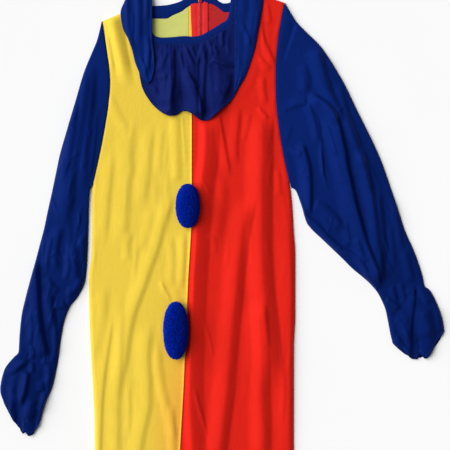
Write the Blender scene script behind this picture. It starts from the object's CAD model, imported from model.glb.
"""Looks of a clown jumpsuit that lies on its back on a pale floor, front up.

Every cloth piece is a thin shell on the form of its CAD solid: a grid of places worked
out from a table of rows, with the garment's creases laid on it by hand. Lengths are in
millimetres until a mesh is made. +X runs to the right of the laid garment, +Y towards
its neck and +Z up.
"""

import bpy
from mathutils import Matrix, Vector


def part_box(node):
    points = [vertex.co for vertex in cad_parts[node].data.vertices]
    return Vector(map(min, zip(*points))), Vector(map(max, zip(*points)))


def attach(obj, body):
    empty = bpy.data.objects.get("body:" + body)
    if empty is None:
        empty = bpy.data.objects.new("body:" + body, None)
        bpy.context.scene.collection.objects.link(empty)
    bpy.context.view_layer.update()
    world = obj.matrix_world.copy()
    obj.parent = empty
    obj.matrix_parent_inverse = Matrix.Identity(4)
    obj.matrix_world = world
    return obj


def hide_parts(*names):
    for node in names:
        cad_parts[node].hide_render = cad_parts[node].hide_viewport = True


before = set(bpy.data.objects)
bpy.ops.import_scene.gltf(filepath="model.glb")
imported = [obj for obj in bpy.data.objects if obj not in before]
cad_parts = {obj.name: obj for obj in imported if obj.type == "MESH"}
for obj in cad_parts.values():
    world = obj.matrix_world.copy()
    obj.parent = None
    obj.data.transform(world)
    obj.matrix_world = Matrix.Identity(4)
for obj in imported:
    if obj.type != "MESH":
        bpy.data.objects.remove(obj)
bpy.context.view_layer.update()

import logging
import math
from dataclasses import dataclass, field
from enum import Enum
from typing import ClassVar, NamedTuple, Sequence

import bmesh
import bpy
import numpy as np

log = logging.getLogger("clown_jumpsuit")

Array = np.ndarray
Colour = tuple[float, float, float]
Place = tuple[float, float]
Piece = bpy.types.Object
Socket = bpy.types.NodeSocket

MM = 0.001
CLOTH = 0.5  # shell of one layer of satin
BACK_CLOTH = 1.4  # the back lies on the floor with its seam turnings under it
WALL = 1.5  # layer of the CAD solids, which a layer on top has to clear
SEAM_GAP = 0.36
CORNER_GAP = 2.0  # between sleeve and panel where both turn down to the floor
LOFT = 6.6  # height of the front layer where something lies on it
SETTLE = 1.2  # it lies this much lower elsewhere, between its folds
LOWEST_TOP = 4.7
ROLL = 7.0  # width over which a closed edge turns down to the floor
ROLL_POWER = 2.2
CROTCH_Y = -540.0  # just above the crotch, where the centre seam ends
SEAM_FADE = 20.0  # length over which the centre seam dies away there
EDGE_STEPS = np.array([0.0, 0.12, 0.5, 1.2, 2.4, 4.3, ROLL])  # columns of a closed edge
SEAM_STEPS = np.array([0.0, 0.3, 0.8, 1.6, 2.8, 4.6, ROLL])  # columns of a sewn edge
STEP_POWER = 1.35  # of the even slope of a crease's stepped side
ENDS = 0.25  # share of a crease's length over which each end dies away
GOLDEN_TURN = math.pi * (3.0 - math.sqrt(5.0))
WAVE_TURN = math.pi / 10.0  # scale of Blender's wave texture for one band a unit
POLE_GAP = 1.0e-6  # points closer than this, in metres, are merged
WHITE = (1.0, 1.0, 1.0, 1.0)
UV_NAME = "cloth"
STRAND_TONE = "strand_tone"


class Profile(Enum):
    """Shape of a crease's cross-section, from its top to its foot."""

    SOFT = "soft"  # a raised cosine on both sides: round on top
    CRISP = "crisp"  # the square of the distance left, on both sides: sharp on top
    STEP = "step"  # soft on the left side, an even slope with a sharp foot on the right


class Hold(Enum):
    """How a sheet of cloth is held."""

    LAID = "laid"
    GATHERED = "gathered"
    FOLDED = "folded"


# -------- lines and creases


def smooth(value: Array | float) -> Array:
    """Ease from 0 to 1 with level ends: 3v^2 - 2v^3 of the value held to 0..1."""
    value = np.clip(value, 0.0, 1.0)
    return value * value * (3.0 - 2.0 * value)


def bell(value: Array | float) -> Array:
    """A bell-shaped hump: e to the power of minus the value's square."""
    return np.exp(-(value ** 2))


def unit(vectors: Array) -> Array:
    """Vectors over their lengths."""
    return vectors / np.linalg.norm(vectors, axis=-1, keepdims=True)


def travelled(points: Array) -> Array:
    """Distance along a line from its first place to each of its places."""
    steps = np.linalg.norm(np.diff(points, axis=0), axis=1)
    return np.concatenate([[0.0], np.cumsum(steps)])


def along(points: Array, share: Array) -> Array:
    """Places at the given shares, 0 to 1, of a polyline's length.

    Args:
        points: Corners of the polyline, one a row.
        share: Shares of its length.

    Returns:
        One place for each share.
    """
    far = travelled(points)
    return np.stack([np.interp(share, far / far[-1], column) for column in points.T], axis=-1)


def eased(table: Array, at: Array) -> Array:
    """Values between the rows of a table, on cubics that never overshoot the rows.

    Each row's slope is the harmonic mean of the steps before and after it, or nought
    where they differ in sign, and a Hermite cubic joins each row to the next.

    Args:
        table: Rows of numbers.
        at: Row numbers, which may lie between rows.

    Returns:
        One row of numbers for each row number asked for.
    """
    step = np.diff(table, axis=0)
    before, after = step[:-1], step[1:]
    together = before * after > 0.0
    total = np.where(together, before + after, 1.0)
    inner = np.where(together, 2.0 * before * after / total, 0.0)
    slope = np.concatenate([step[:1], inner, step[-1:]])
    low = np.clip(np.floor(at).astype(int), 0, len(table) - 2)
    part = (at - low)[:, None]
    square, cube = part ** 2, part ** 3
    return (
        (2.0 * cube - 3.0 * square + 1.0) * table[low]
        + (cube - 2.0 * square + part) * slope[low]
        + (3.0 * square - 2.0 * cube) * table[low + 1]
        + (cube - square) * slope[low + 1]
    )


def fine_rows(reach: Array, spacing: Array | float) -> Array:
    """Row numbers that split each span of a table into equal short steps.

    Args:
        reach: Length of each span.
        spacing: Longest step in each.

    Returns:
        Row numbers, first to last.
    """
    counts = np.ceil(reach / spacing).astype(int)
    starts = np.repeat(np.arange(len(counts)), counts)
    within = np.concatenate([np.arange(count) / count for count in counts])
    return np.append(starts + within, float(len(counts)))


@dataclass(frozen=True)
class Crease:
    """A ridge of cloth along a smooth line, with a slope of its own width on each side.

    Left is the side towards -X, or towards +Y where the line runs level. The height dies
    away over the head and the tail, which are shares of the line's length.
    """

    path: Sequence[float]  # X and Y of its places, in turn
    left: float
    right: float
    height: float
    head: float = ENDS
    tail: float = ENDS
    profile: Profile = Profile.SOFT

    def slopes(self, share: Array) -> tuple[Array, Array]:
        """Heights of the two sides, as Profile describes them.

        Args:
            share: Shares of a side's width, from the crease's top.

        Returns:
            Heights of the left side and of the right one, 1 at the top and 0 at the foot.
        """
        soft, crisp = 0.5 + 0.5 * np.cos(np.pi * share), (1.0 - share) ** 2
        if self.profile is Profile.STEP:
            return soft, 1.0 - share ** STEP_POWER
        return (crisp, crisp) if self.profile is Profile.CRISP else (soft, soft)

    def rise(self, x: Array, y: Array) -> Array:
        """Rise at each place: height x profile(distance / width) x fading ends.

        Args:
            x: Places' X.
            y: Places' Y.

        Returns:
            Rise of each, nought outside the crease's reach.
        """
        path = np.array(self.path, float).reshape(-1, 2)
        line = eased(path, np.linspace(0.0, len(path) - 1.0, 6 * len(path) - 5))
        reach = max(self.left, self.right)
        low, high = line.min(axis=0) - reach, line.max(axis=0) + reach
        near = (x > low[0]) & (x < high[0]) & (y > low[1]) & (y < high[1])
        rise = np.zeros(np.shape(x))
        if not near.any():
            return rise
        run_x, run_y = np.diff(line, axis=0).T
        lengths = np.hypot(run_x, run_y)
        from_x = x[near][:, None] - line[None, :-1, 0]
        from_y = y[near][:, None] - line[None, :-1, 1]
        part = np.clip((from_x * run_x + from_y * run_y) / lengths ** 2, 0.0, 1.0)
        away = np.hypot(from_x - part * run_x, from_y - part * run_y)
        nearest = np.argmin(away, axis=1)
        pick = (np.arange(len(nearest)), nearest)
        whole_x, whole_y = line[-1] - line[0]
        facing = 1.0 if 0.95 * whole_y + 0.31 * whole_x > 0.0 else -1.0
        is_left = facing * (run_x * from_y - run_y * from_x)[pick] > 0.0
        far = travelled(line)
        place = (far[nearest] + part[pick] * lengths[nearest]) / far[-1]
        share = np.clip(away[pick] / np.where(is_left, self.left, self.right), 0.0, 1.0)
        across = np.where(is_left, *self.slopes(share))
        rise[near] = self.height * across * smooth(place / self.head) * smooth((1.0 - place) / self.tail)
        return rise


@dataclass(frozen=True)
class Crinkles:
    """Small uneven creases strewn over a box, all heading much the same way."""

    seed: int
    count: int
    low: Place
    high: Place
    heading: float  # degrees from +X
    spread: float = 12.0
    length: Place = (36.0, 150.0)
    width: Place = (5.0, 12.0)
    height: Place = (0.25, 0.9)

    def creases(self) -> list[Crease]:
        """Draw the creases, the same each time: lines of three places that bend a little.

        Returns:
            The creases.
        """
        draw = np.random.default_rng(self.seed)
        made = []
        for _ in range(self.count):
            middle = draw.uniform(self.low, self.high)
            angle = math.radians(self.heading + draw.uniform(-self.spread, self.spread))
            run = 0.5 * draw.uniform(*self.length) * np.array([math.cos(angle), math.sin(angle)])
            bend = 0.12 * draw.uniform(-1.0, 1.0) * np.array([-run[1], run[0]])
            path = np.concatenate([middle - run, middle + bend, middle + run])
            widths = draw.uniform(*self.width, size=2)
            made.append(Crease(path, *widths, draw.uniform(*self.height), 0.5, 0.5))
        return made


def laid(*rows: Sequence) -> list[Crease]:
    """Creases from rows of their values, in the order of Crease's fields."""
    return [Crease(*row) for row in rows]


def strewn_with(creases: Sequence[Crease], *groups: Crinkles) -> list[Crease]:
    """The creases laid by hand, and after them those of each group of crinkles."""
    return [*creases, *(crease for group in groups for crease in group.creases())]


def rise_of(creases: Sequence[Crease], plan: Array) -> Array:
    """Sum of the rises of many creases at each place of a plan."""
    return sum((crease.rise(plan[..., 0], plan[..., 1]) for crease in creases), np.zeros(plan.shape[:-1]))


def uneven_wave(share: Array, count: float, phase: float, stray: float = 0.5) -> Array:
    """A wave of uneven length: cosine of 2 pi count share, whose phase wanders by stray.

    Args:
        share: Places, 0 to 1 across the piece.
        count: Waves from 0 to 1.
        phase: Start of the wave, in radians, which also sets how it wanders.
        stray: How far the phase wanders, in radians.

    Returns:
        Values from -1 to 1.
    """
    wander = np.sin(5.3 * share + 1.7 * phase) + 0.6 * np.sin(11.9 * share + 2.9 * phase)
    return np.cos(2.0 * np.pi * count * share + phase + stray * 2.0 * wander)


# -------- meshes


def quads(grid: Array) -> Array:
    """The values at the four corners of every face of a grid, in order round the face."""
    corners = [grid[:-1, :-1], grid[1:, :-1], grid[1:, 1:], grid[:-1, 1:]]
    return np.stack(corners, axis=2).reshape((-1, 4) + grid.shape[2:])


def numbers(rows: int, columns: int, is_closed: bool = False) -> Array:
    """Point numbers of a grid. A closed one has its first column again after its last."""
    index = np.arange(rows * columns).reshape(rows, columns)
    return np.concatenate([index, index[:, :1]], axis=1) if is_closed else index


def make_mesh(name: str, points: Array, faces: Array, uv: Array | None = None) -> Piece:
    """Put a mesh into the scene as a smooth-shaded object at the origin.

    Args:
        name: Name of the piece.
        points: Places in millimetres.
        faces: Corner numbers, one face a row.
        uv: Cloth coordinates in metres, one for each corner of each face.

    Returns:
        The new object.
    """
    mesh = bpy.data.meshes.new(name)
    mesh.from_pydata((points * MM).tolist(), [], faces.tolist())
    mesh.shade_smooth()
    if uv is not None:
        layer = mesh.uv_layers.new(name=UV_NAME)
        layer.data.foreach_set("uv", np.asarray(uv, np.float32).ravel())
    return linked(name, mesh)


def linked(name: str, data: bpy.types.ID) -> Piece:
    """A new object of some data, in the scene."""
    made = bpy.data.objects.new(name, data)
    bpy.context.scene.collection.objects.link(made)
    return made


def join(parts: Sequence[tuple[Array, Array]]) -> tuple[Array, Array]:
    """One mesh's points and faces from those of several, whose faces have equal sides."""
    starts = np.cumsum([0, *(len(points) for points, _ in parts)])
    faces = [faces + start for (_, faces), start in zip(parts, starts)]
    return np.concatenate([points for points, _ in parts]), np.concatenate(faces)


def grid_piece(name: str, points: Array, wall: float, is_tube: bool = False) -> Piece:
    """A cloth piece from a grid of places on its outer face.

    Each face joins four neighbours, and a tube also joins its last column to its first.
    Faces turn up on a sheet and outward on a tube. The UV map is the distance along the
    rows and columns, in metres, so a weave keeps its real size.

    Args:
        name: Name of the piece.
        points: Rows by columns by three.
        wall: Thickness, on the inner side.
        is_tube: Whether the rows close into rings.

    Returns:
        The new object.
    """
    rows, columns, _ = points.shape
    ring = np.concatenate([points, points[:, :1]], axis=1) if is_tube else points
    across = np.linalg.norm(np.diff(ring, axis=1), axis=2)
    u = np.concatenate([np.zeros((rows, 1)), np.cumsum(across, axis=1)], axis=1)
    down = np.linalg.norm(np.diff(points, axis=0), axis=2).mean(axis=1)
    v = np.broadcast_to(np.concatenate([[0.0], np.cumsum(down)])[:, None], u.shape)
    faces, uv = quads(numbers(rows, columns, is_tube)), quads(np.stack([u, v], axis=-1) * MM)
    flat = points.reshape(-1, 3)
    corner = flat[faces]
    facing = np.cross(corner[:, 2] - corner[:, 0], corner[:, 3] - corner[:, 1])
    outward = np.array([0.0, 0.0, 1.0])
    if is_tube:
        outward = corner.mean(axis=1) - np.repeat(points.mean(axis=1)[:-1], columns, axis=0)
    if np.sum(facing * outward) < 0.0:
        faces, uv = faces[:, ::-1], uv[:, ::-1]
    piece = make_mesh(name, flat, faces, uv)
    shell = piece.modifiers.new("wall", "SOLIDIFY")
    shell.thickness = wall * MM
    shell.offset = -1.0
    log.info("%s: %.4f square metres of cloth", name, 0.5e-6 * np.linalg.norm(facing, axis=1).sum())
    return piece


# -------- the garment's tables


@dataclass(frozen=True)
class Strip:
    """Rows across a piece of cloth, each from its first edge to its second one.

    A row holds the X and Y of its place on each edge, and then what else the piece needs.
    """

    rows: Array

    @property
    def width(self) -> Array:
        """Length of each row, as a column."""
        step = self.rows[:, 2:4] - self.rows[:, 0:2]
        return np.hypot(step[:, 0], step[:, 1])[:, None]

    def reach(self) -> Array:
        """Distance from each row to the next one, on the edge where it is longer."""
        step = np.diff(self.rows[:, 0:4], axis=0)
        return np.maximum(np.hypot(step[:, 0], step[:, 1]), np.hypot(step[:, 2], step[:, 3]))

    def finer(self, spacing: float) -> "Strip":
        """The strip with rows close together, on smooth curves through its own."""
        return Strip(eased(self.rows, fine_rows(self.reach(), spacing)))

    def middle(self) -> Array:
        """Middle of each row."""
        return 0.5 * (self.rows[:, 0:2] + self.rows[:, 2:4])

    def plan(self, share: Array) -> Array:
        """Places at shares of the way from the first edge to the second: a straight mix."""
        share = share[..., None]
        return self.rows[:, None, 0:2] * (1.0 - share) + self.rows[:, None, 2:4] * share

    def columns(self, first: Array, second: Array, count: int) -> Array:
        """Distances from the first edge at which the columns lie.

        Args:
            first: Distances from the first edge of the columns beside it.
            second: Distances from the second edge of the columns beside it.
            count: Columns that are spread evenly between the two rolls.

        Returns:
            Rows by columns of distances.
        """
        even = ROLL + (self.width - 2.0 * ROLL) * np.linspace(0.0, 1.0, count + 2)[None, 1:-1]
        return np.concatenate([first, even, self.width - second[:, ::-1]], axis=1)


def table(*rows: Sequence[float]) -> Array:
    """Rows of a table of places, as an array."""
    return np.array(rows, float)


# Front halves: inner and outer edge, and a 1 for each of the two that is closed
YELLOW_FRONT = table(
    # shoulder seam
    (-97, 442, -175, 409, 0, 0), (-92, 412, -170, 376, 0, 0), (-86, 385, -165.5, 345, 0, 0),
    # neckline, from its corner to its centre
    (-73, 360, -161.5, 315, 0, 0), (-36, 359, -160, 285, 0, 0), (4, 359, -162, 250, 0, 0),
    # centre seam
    (4, 310, -168, 210, 0, 0), (4, 250, -176, 165, 0, 0), (4, 190, -185, 122, 0, 0),
    (4, 130, -192, 90, 0, 0),
    # from the underarm
    (4, 100, -196, 74, 0, 1), (4, 50, -197, 36, 0, 1), (3, -8, -197, -14, 0, 1),
    (0, -58, -198, -60, 0, 1), (-3, -108, -203, -108, 0, 1), (-6, -180, -202, -180, 0, 1),
    (-9, -250, -199, -250, 0, 1), (-12, -320, -195, -320, 0, 1), (-16, -390, -192, -390, 0, 1),
    (-20, -460, -191, -460, 0, 1), (-24, -526, -193, -526, 0, 1),
    # from the crotch to the hem
    (-28, -550, -194, -550, 1, 1), (-40, -620, -197, -620, 1, 1), (-49, -710, -202, -710, 1, 1),
    (-55, -820, -209, -820, 1, 1), (-59, -950, -216, -950, 1, 1), (-62, -1080, -221, -1080, 1, 1),
)
RED_FRONT = table(
    # shoulder seam
    (99, 476, 188, 446, 0, 0), (94, 440, 182, 412, 0, 0),
    # neckline, from its corner to its centre
    (86, 397, 177, 382, 0, 0), (68, 386, 173, 345, 0, 0), (48, 375, 171, 310, 0, 0),
    (24, 364, 171, 270, 0, 0), (4, 359, 173, 235, 0, 0),
    # centre seam
    (4, 310, 177, 200, 0, 0), (4, 250, 183, 160, 0, 0), (4, 190, 190, 123, 0, 0),
    (4, 130, 197, 93, 0, 0),
    # from the underarm
    (4, 100, 201, 74, 0, 1), (4, 50, 205, 36, 0, 1), (3, -8, 208, -14, 0, 1),
    (0, -58, 211, -60, 0, 1), (-3, -108, 211, -108, 0, 1), (-6, -180, 211, -180, 0, 1),
    (-9, -250, 208, -250, 0, 1), (-12, -320, 208, -320, 0, 1), (-16, -390, 208, -390, 0, 1),
    (-20, -460, 208, -460, 0, 1), (-24, -526, 209, -526, 0, 1),
    # from the crotch to the hem
    (-20, -550, 210, -550, 1, 1), (-8, -620, 212, -620, 1, 1), (3, -710, 215, -710, 1, 1),
    (12, -820, 219, -820, 1, 1), (18, -950, 222, -950, 1, 1), (22, -1080, 223, -1080, 1, 1),
)
CENTRE_SEAM = RED_FRONT[6:22, 0:2]
FIRST_SEWN = 5  # row from which an inner edge is the centre seam or an inseam
COARSE_FROM = 20  # row from which a front half's rows may lie further apart

# Inner edges of the back halves: the back neckline, then the zip and the centre back seam
YELLOW_BACK_INNER = table((-95, 437), (-75, 413), (-49, 413), (-34, 420), (-16, 428), (-5, 436),
                          (19, 443), (19, 330), (19, 220), (19, 120), (19, 80))
RED_BACK_INNER = table((97, 472), (88, 431), (78, 426), (68, 426), (61, 431), (53, 437), (40, 443),
                       (21, 443), (21, 300), (21, 190), (21, 120), (21, 80))
ZIP_TO_CROTCH = table((20, -60), (10, -180), (-3, -320), (-24, -526))

# Neck bands: seam, free edge and height
FRONT_BAND = table(
    (-93.8, 434, -79, 438, 3.6), (-91.5, 412, -77, 417, 4.2), (-85.5, 385.3, -77, 396, 5.4),
    (-72.9, 360.4, -71, 379, 6.2), (-54, 359.7, -55, 375, 6.4), (-36, 359.4, -36, 376, 6.4),
    (-13, 359.4, -12, 378, 6.4), (4, 359.4, 5, 377, 6.4), (23.8, 364.4, 19, 379, 6.4),
    (47.8, 375.4, 39, 389, 6.4), (67.8, 386.4, 60, 402, 6.2), (85.6, 397.4, 74, 412, 5.4),
    (92.5, 440, 80, 436, 4.2), (96, 468, 83, 462, 3.6),
)
BACK_BAND_LEFT = table(
    (-95, 437.4, -84, 441.5, WALL), (-75, 413.4, -74, 439, WALL), (-49, 413.4, -49, 440.5, WALL),
    (-34, 420.4, -36, 443, WALL), (-16, 428.4, -20, 448, WALL), (-5, 436.4, -8, 455, WALL),
    (19, 443.4, 19, 461, WALL),
)
BACK_BAND_RIGHT = table(
    (96.6, 472.2, 84, 463, WALL), (88, 431.4, 80, 446, WALL), (78, 426.4, 77, 445, WALL),
    (68, 426.4, 68, 444, WALL), (61, 431.4, 58, 448, WALL), (53, 437.4, 50, 455, WALL),
    (40, 443.4, 40, 461, WALL), (21, 443.4, 21, 461, WALL),
)

# Sleeves below the armhole: outer and inner edge, the bow of the middle between them, and height
RIGHT_SLEEVE = table(
    (213, 408, 210, 71, -14, 4, 7.4), (234, 386, 215, 62, -10, 4, 8.6),
    (262, 358, 220, 48, -6, 4, 9.6), (289, 318, 225, 33, 0, 0, 10.2),
    (312, 278, 229, 18, 0, 0, 10.4), (332, 236, 234, 4, 0, 0, 10.4),
    (355, 190, 245, -10, 0, 0, 10.2), (382, 132, 262, -26, 0, 0, 10.0),
    (402, 76, 283, -46, 0, 0, 9.6), (419, 26, 305, -67, 0, 0, 9.2),
    (432, -14, 325, -87, 0, 0, 8.8), (447, -47, 343, -102, 0, 0, 8.6),
    (458, -76, 360, -117, 0, 0, 8.2), (467, -106, 376, -136, 0, 0, 7.4),
    # elastic, then the frill
    (470, -121, 385, -153, 3, -8, 6.8), (481, -131, 391, -168, 4, -12, 8.4),
    (495, -157, 396, -190, 5, -20, 10.4), (507, -192, 401, -216, 5, -32, 9.6),
    (510, -212, 406, -236, 4, -42, 7.2),
)
LEFT_SLEEVE = table(
    (-186, 372, -200.5, 71, 10, 3, 7.4), (-197, 345, -201, 67, 6, 3, 8.4),
    (-212, 308, -201.4, 62, 3, 0, 9.4), (-225, 264, -201.8, 56, 0, 0, 10.2),
    (-238, 220, -202.2, 48, 0, 0, 10.4), (-250, 180, -202.6, 38, 0, 0, 10.4),
    (-261, 142, -203, 24, 0, 0, 10.2), (-269, 104, -203.4, 4, 0, 0, 10.0),
    (-277, 66, -204, -20, 0, 0, 9.8), (-285, 30, -204.8, -48, 0, 0, 9.6),
    (-293, -8, -206.5, -80, 0, 0, 9.4), (-302, -42, -210, -112, 0, 0, 9.2),
    (-311, -76, -224, -143, 0, 0, 9.2), (-321, -112, -241, -165, 0, 0, 9.0),
    (-330, -146, -251, -190, 0, 0, 8.8), (-338, -182, -257, -218, 0, 0, 8.4),
    (-342, -222, -261, -246, 0, -2, 7.8),
    # elastic, then the frill
    (-344, -254, -264, -270, 0, -4, 6.8), (-354, -266, -268, -292, 0, -6, 8.4),
    (-373, -292, -275, -322, 2, -10, 10.4), (-381, -330, -290, -358, 4, -22, 10.0),
    (-374, -356, -300, -392, 6, -42, 7.2),
)

# How far each sleeve's frill hangs past its last row: share of the way across, and drop
RIGHT_HEM = table((0, 0), (0.2, -5), (0.38, 5), (0.44, 3), (0.5, -8), (0.57, 4), (0.64, 3),
                  (0.8, -4), (1, 0))
LEFT_HEM = table((0, 0), (0.25, -3), (0.46, 2), (0.53, -4), (0.6, 3), (0.76, 6), (0.86, 1), (1, 0))

# The front ruffle: seam, free edge and the height of its wave
FRONT_RUFFLE = table(
    (-88, 376, -104, 318, 0.0), (-80, 364, -96, 276, 0.3), (-70, 356, -82, 250, 0.6),
    (-60, 356, -66, 232, 1.2), (-50, 356, -50, 221, 8.0), (-40, 356, -38, 217, 7.0),
    (-32, 356, -26, 220, 1.0), (-24, 356, -14, 228, 0.5), (-16, 356, -8, 227, 4.0),
    (-8, 356, 2, 223, 9.0), (0, 356, 14, 214, 9.5), (10, 356, 22, 209, 6.0),
    (18, 356, 30, 208, 0.5), (26, 360, 38, 210, 3.0), (36, 364, 48, 218, 8.0),
    (48, 370, 60, 228, 9.0), (58, 375, 74, 240, 4.0), (70, 382, 86, 253, 0.6),
    (80, 388, 96, 276, 0.0),
)

# The ruffle where it turns over each shoulder: hemmed edge, folded edge and height
LEFT_TURN = table(
    (-80, 484, -104, 493, 2.2), (-77, 474, -114, 484, 4.0), (-76, 458, -121, 468, 7.5),
    (-75, 438, -131, 447, 10.5), (-75, 415, -139, 424, 11.0), (-75, 395, -135, 396, 11.0),
    (-75, 376, -124, 372, 11.2), (-73, 356, -116, 350, 11.4), (-71, 334, -110, 326, 11.8),
    (-70, 318, -103, 308, 12.2), (-73, 302, -94, 290, 12.4), (-77, 288, -84, 282, 12.2),
)
RIGHT_TURN = table(
    (92, 502, 128, 510, 2.2), (90, 491, 142, 501, 5.2), (89, 477, 148, 484, 9.4),
    (89, 450, 147, 452, 10.4), (89, 420, 143, 420, 10.6), (89, 390, 137, 388, 11.0),
    (89, 360, 131, 356, 11.0), (89, 330, 122, 326, 11.0), (89, 302, 111, 296, 11.0),
    (89, 278, 98, 274, 11.0), (87, 262, 90, 259, 11.0),
)


# -------- creases laid by hand

# A row is a crease's places, X and Y in turn, the widths of its left and right sides, its
# height, the shares of its head and tail, and its profile
STEP, CRISP = Profile.STEP, Profile.CRISP
SHARP = (ENDS, ENDS, CRISP)

RED_CREASES = laid(
    # the dark band beside the centre seam
    ((28, 226, 32, 178, 30, 134, 24, 90, 18, 50, 15, 2, 12, -46, 8, -98, 6, -150, 3, -210, 1, -270, 0, -330,
     2, -390, 5, -446, 8, -510), 18, 28, 8.6, 0.06, 0.1, STEP),
    # the long fold down the middle of the half
    ((140, 234, 144, 194, 144, 146, 142, 94, 142, 38, 142, -22, 144, -82, 148, -138, 154, -190, 160, -242,
     164, -294, 166, -342), 38, 24, 10.0, 0.1, 0.16, STEP),
    ((136, -142, 138, -190, 140, -238, 142, -290, 142, -342, 144, -398, 144, -450, 142, -530),
     30, 20, 7.4, 0.12, ENDS, STEP),
    # the ridge beside the side seam
    ((192, 78, 196, -10, 200, -110, 200, -230, 198, -350, 196, -470, 194, -550), 35, 10, 3.6),
    # the one that leans from the chest to the knee
    ((118, 66, 114, 34, 106, -2, 100, -46, 94, -94, 90, -142, 84, -194, 80, -242, 76, -290, 72, -338,
     66, -386, 60, -434, 52, -510), 35, 18, 7.6, 0.1, 0.12, STEP),
    ((62, 106, 64, 66, 58, 18, 48, -46), 16, 18, 2.6),
    # short ones below the ruffle
    ((56, 226, 62, 190, 68, 158, 74, 126, 80, 90), 19, 7, 3.4, 0.1, 0.3),
    ((96, 242, 94, 194, 90, 154, 94, 114), 22, 10, 2.8),
    ((120, 230, 114, 198, 106, 162), 14, 8, 1.6),
    ((24, 94, 32, 78, 40, 62), 8, 5, 1.3, *SHARP),
    ((34, -14, 48, -30, 52, -62), 14, 8, 1.2),
    # thin ones on the broad folds
    ((26, -182, 34, -212, 42, -240, 48, -270), 7, 4, 1.8, *SHARP),
    ((8, -318, 16, -354, 26, -390, 36, -430), 9, 5, 2.2, *SHARP),
    ((146, -150, 152, -202, 158, -250), 11, 6, 1.4),
    ((112, -150, 116, -250, 112, -370), 14, 8, 1.0),
    ((186, -210, 188, -310, 184, -410), 11, 6, 1.0),
    # drag lines from the shoulder
    ((138, 402, 146, 370, 160, 338, 172, 314), 16, 9, 3.2, 0.15),
    ((120, 346, 140, 332, 164, 308), 16, 8, 2.6),
    ((144, 302, 146, 270, 152, 238), 14, 10, 2.4),
    ((136, 238, 144, 226, 158, 212), 11, 6, 2.2),
    ((152, 450, 156, 426, 160, 398), 14, 8, 1.8),
    ((174, 114, 178, 86, 178, 54), 11, 8, 1.8),
    # leg
    ((52, -480, 66, -620, 88, -800, 100, -940, 107, -1085), 26, 16, 4.6, ENDS, 0.01),
    ((150, -500, 160, -690, 168, -860, 167, -1085), 24, 18, 4.6, ENDS, 0.01),
    ((-2, -548, 34, -596, 84, -668), 14, 11, 2.8),
    ((6, -560, 24, -640, 44, -760), 12, 10, 2.4),
    ((134, -700, 138, -820, 136, -950), 12, 10, 2.2),
    ((60, -860, 66, -960, 69, -1085), 14, 12, 2.6, ENDS, 0.01),
    ((196, -620, 199, -780, 202, -960), 14, 10, 2.6),
)

YELLOW_CREASES = laid(
    # the long fold from beside the upper pompom to the side
    ((-38, 66, -48, 30, -58, -6, -68, -44, -82, -82, -94, -118, -106, -150, -118, -186, -126, -226,
     -132, -270, -142, -318, -146, -362), 27, 13, 2.7, 0.1),
    ((-80, -186, -86, -226, -88, -270, -86, -314, -86, -354, -92, -390, -100, -426, -106, -466, -112, -530),
     30, 15, 2.7, 0.15, 0.15),
    # beside the side seam
    ((-156, -170, -162, -226, -168, -266, -174, -310, -178, -354, -180, -402, -182, -454, -186, -530),
     22, 7, 1.9, 0.15, 0.15),
    ((-172, -110, -174, -150, -178, -190, -186, -234, -194, -278), 22, 17, 1.8),
    ((-140, -110, -140, -170, -142, -230, -144, -302, -148, -370, -148, -450, -150, -530), 24, 13, 1.9),
    ((-124, -310, -122, -370, -124, -430), 11, 8, 0.9),
    # beside the centre seam and the lower pompom
    ((-66, -230, -64, -274, -58, -318, -50, -354, -42, -386, -36, -422, -34, -462, -32, -510),
     16, 13, 1.9, 0.15, 0.15),
    ((-36, -354, -34, -390, -30, -434), 14, 8, 1.5),
    ((-14, -6, -14, -50, -16, -94, -18, -138), 16, 10, 2.1),
    ((-60, -112, -50, -130, -38, -152), 11, 5, 1.6, *SHARP),
    ((-44, -14, -36, -74, -40, -130), 14, 13, 1.2),
    # the pleat below the ruffle
    ((-30, 230, -29, 180, -28, 130, -27, 82), 16, 15, 1.9, 0.08, 0.12),
    ((-16, 222, -12, 170, -8, 114), 6, 6, 0.9, 0.1, ENDS, CRISP),
    ((-56, 202, -60, 150, -64, 94), 16, 10, 1.2),
    # across the chest
    ((-118, 214, -126, 120, -132, 20, -142, -74), 32, 17, 2.2),
    ((-156, 150, -166, 60, -174, -42), 24, 13, 1.8),
    ((-80, 206, -88, 110, -100, 26), 24, 15, 1.9),
    ((-118, -10, -126, -42, -128, -78), 14, 10, 1.5),
    ((-76, 38, -86, -10, -102, -58), 19, 13, 1.3),
    ((-158, 422, -150, 386, -142, 350, -132, 310, -120, 270), 19, 23, 6.7, 0.12, 0.4),
    ((-168, 390, -160, 346, -152, 302), 11, 7, 1.8),
    ((-164, 266, -144, 218, -120, 182), 19, 13, 1.3),
    # leg
    ((-116, -500, -126, -700, -134, -880, -139, -1085), 26, 16, 4.0, ENDS, 0.01),
    ((-186, -560, -190, -760, -196, -960), 16, 12, 2.8),
    ((-38, -560, -62, -610, -98, -676), 12, 14, 2.6),
    ((-74, -690, -84, -830, -92, -1085), 18, 14, 3.2, ENDS, 0.01),
    ((-152, -760, -162, -900, -167, -1085), 12, 12, 2.2, ENDS, 0.01),
)

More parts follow.
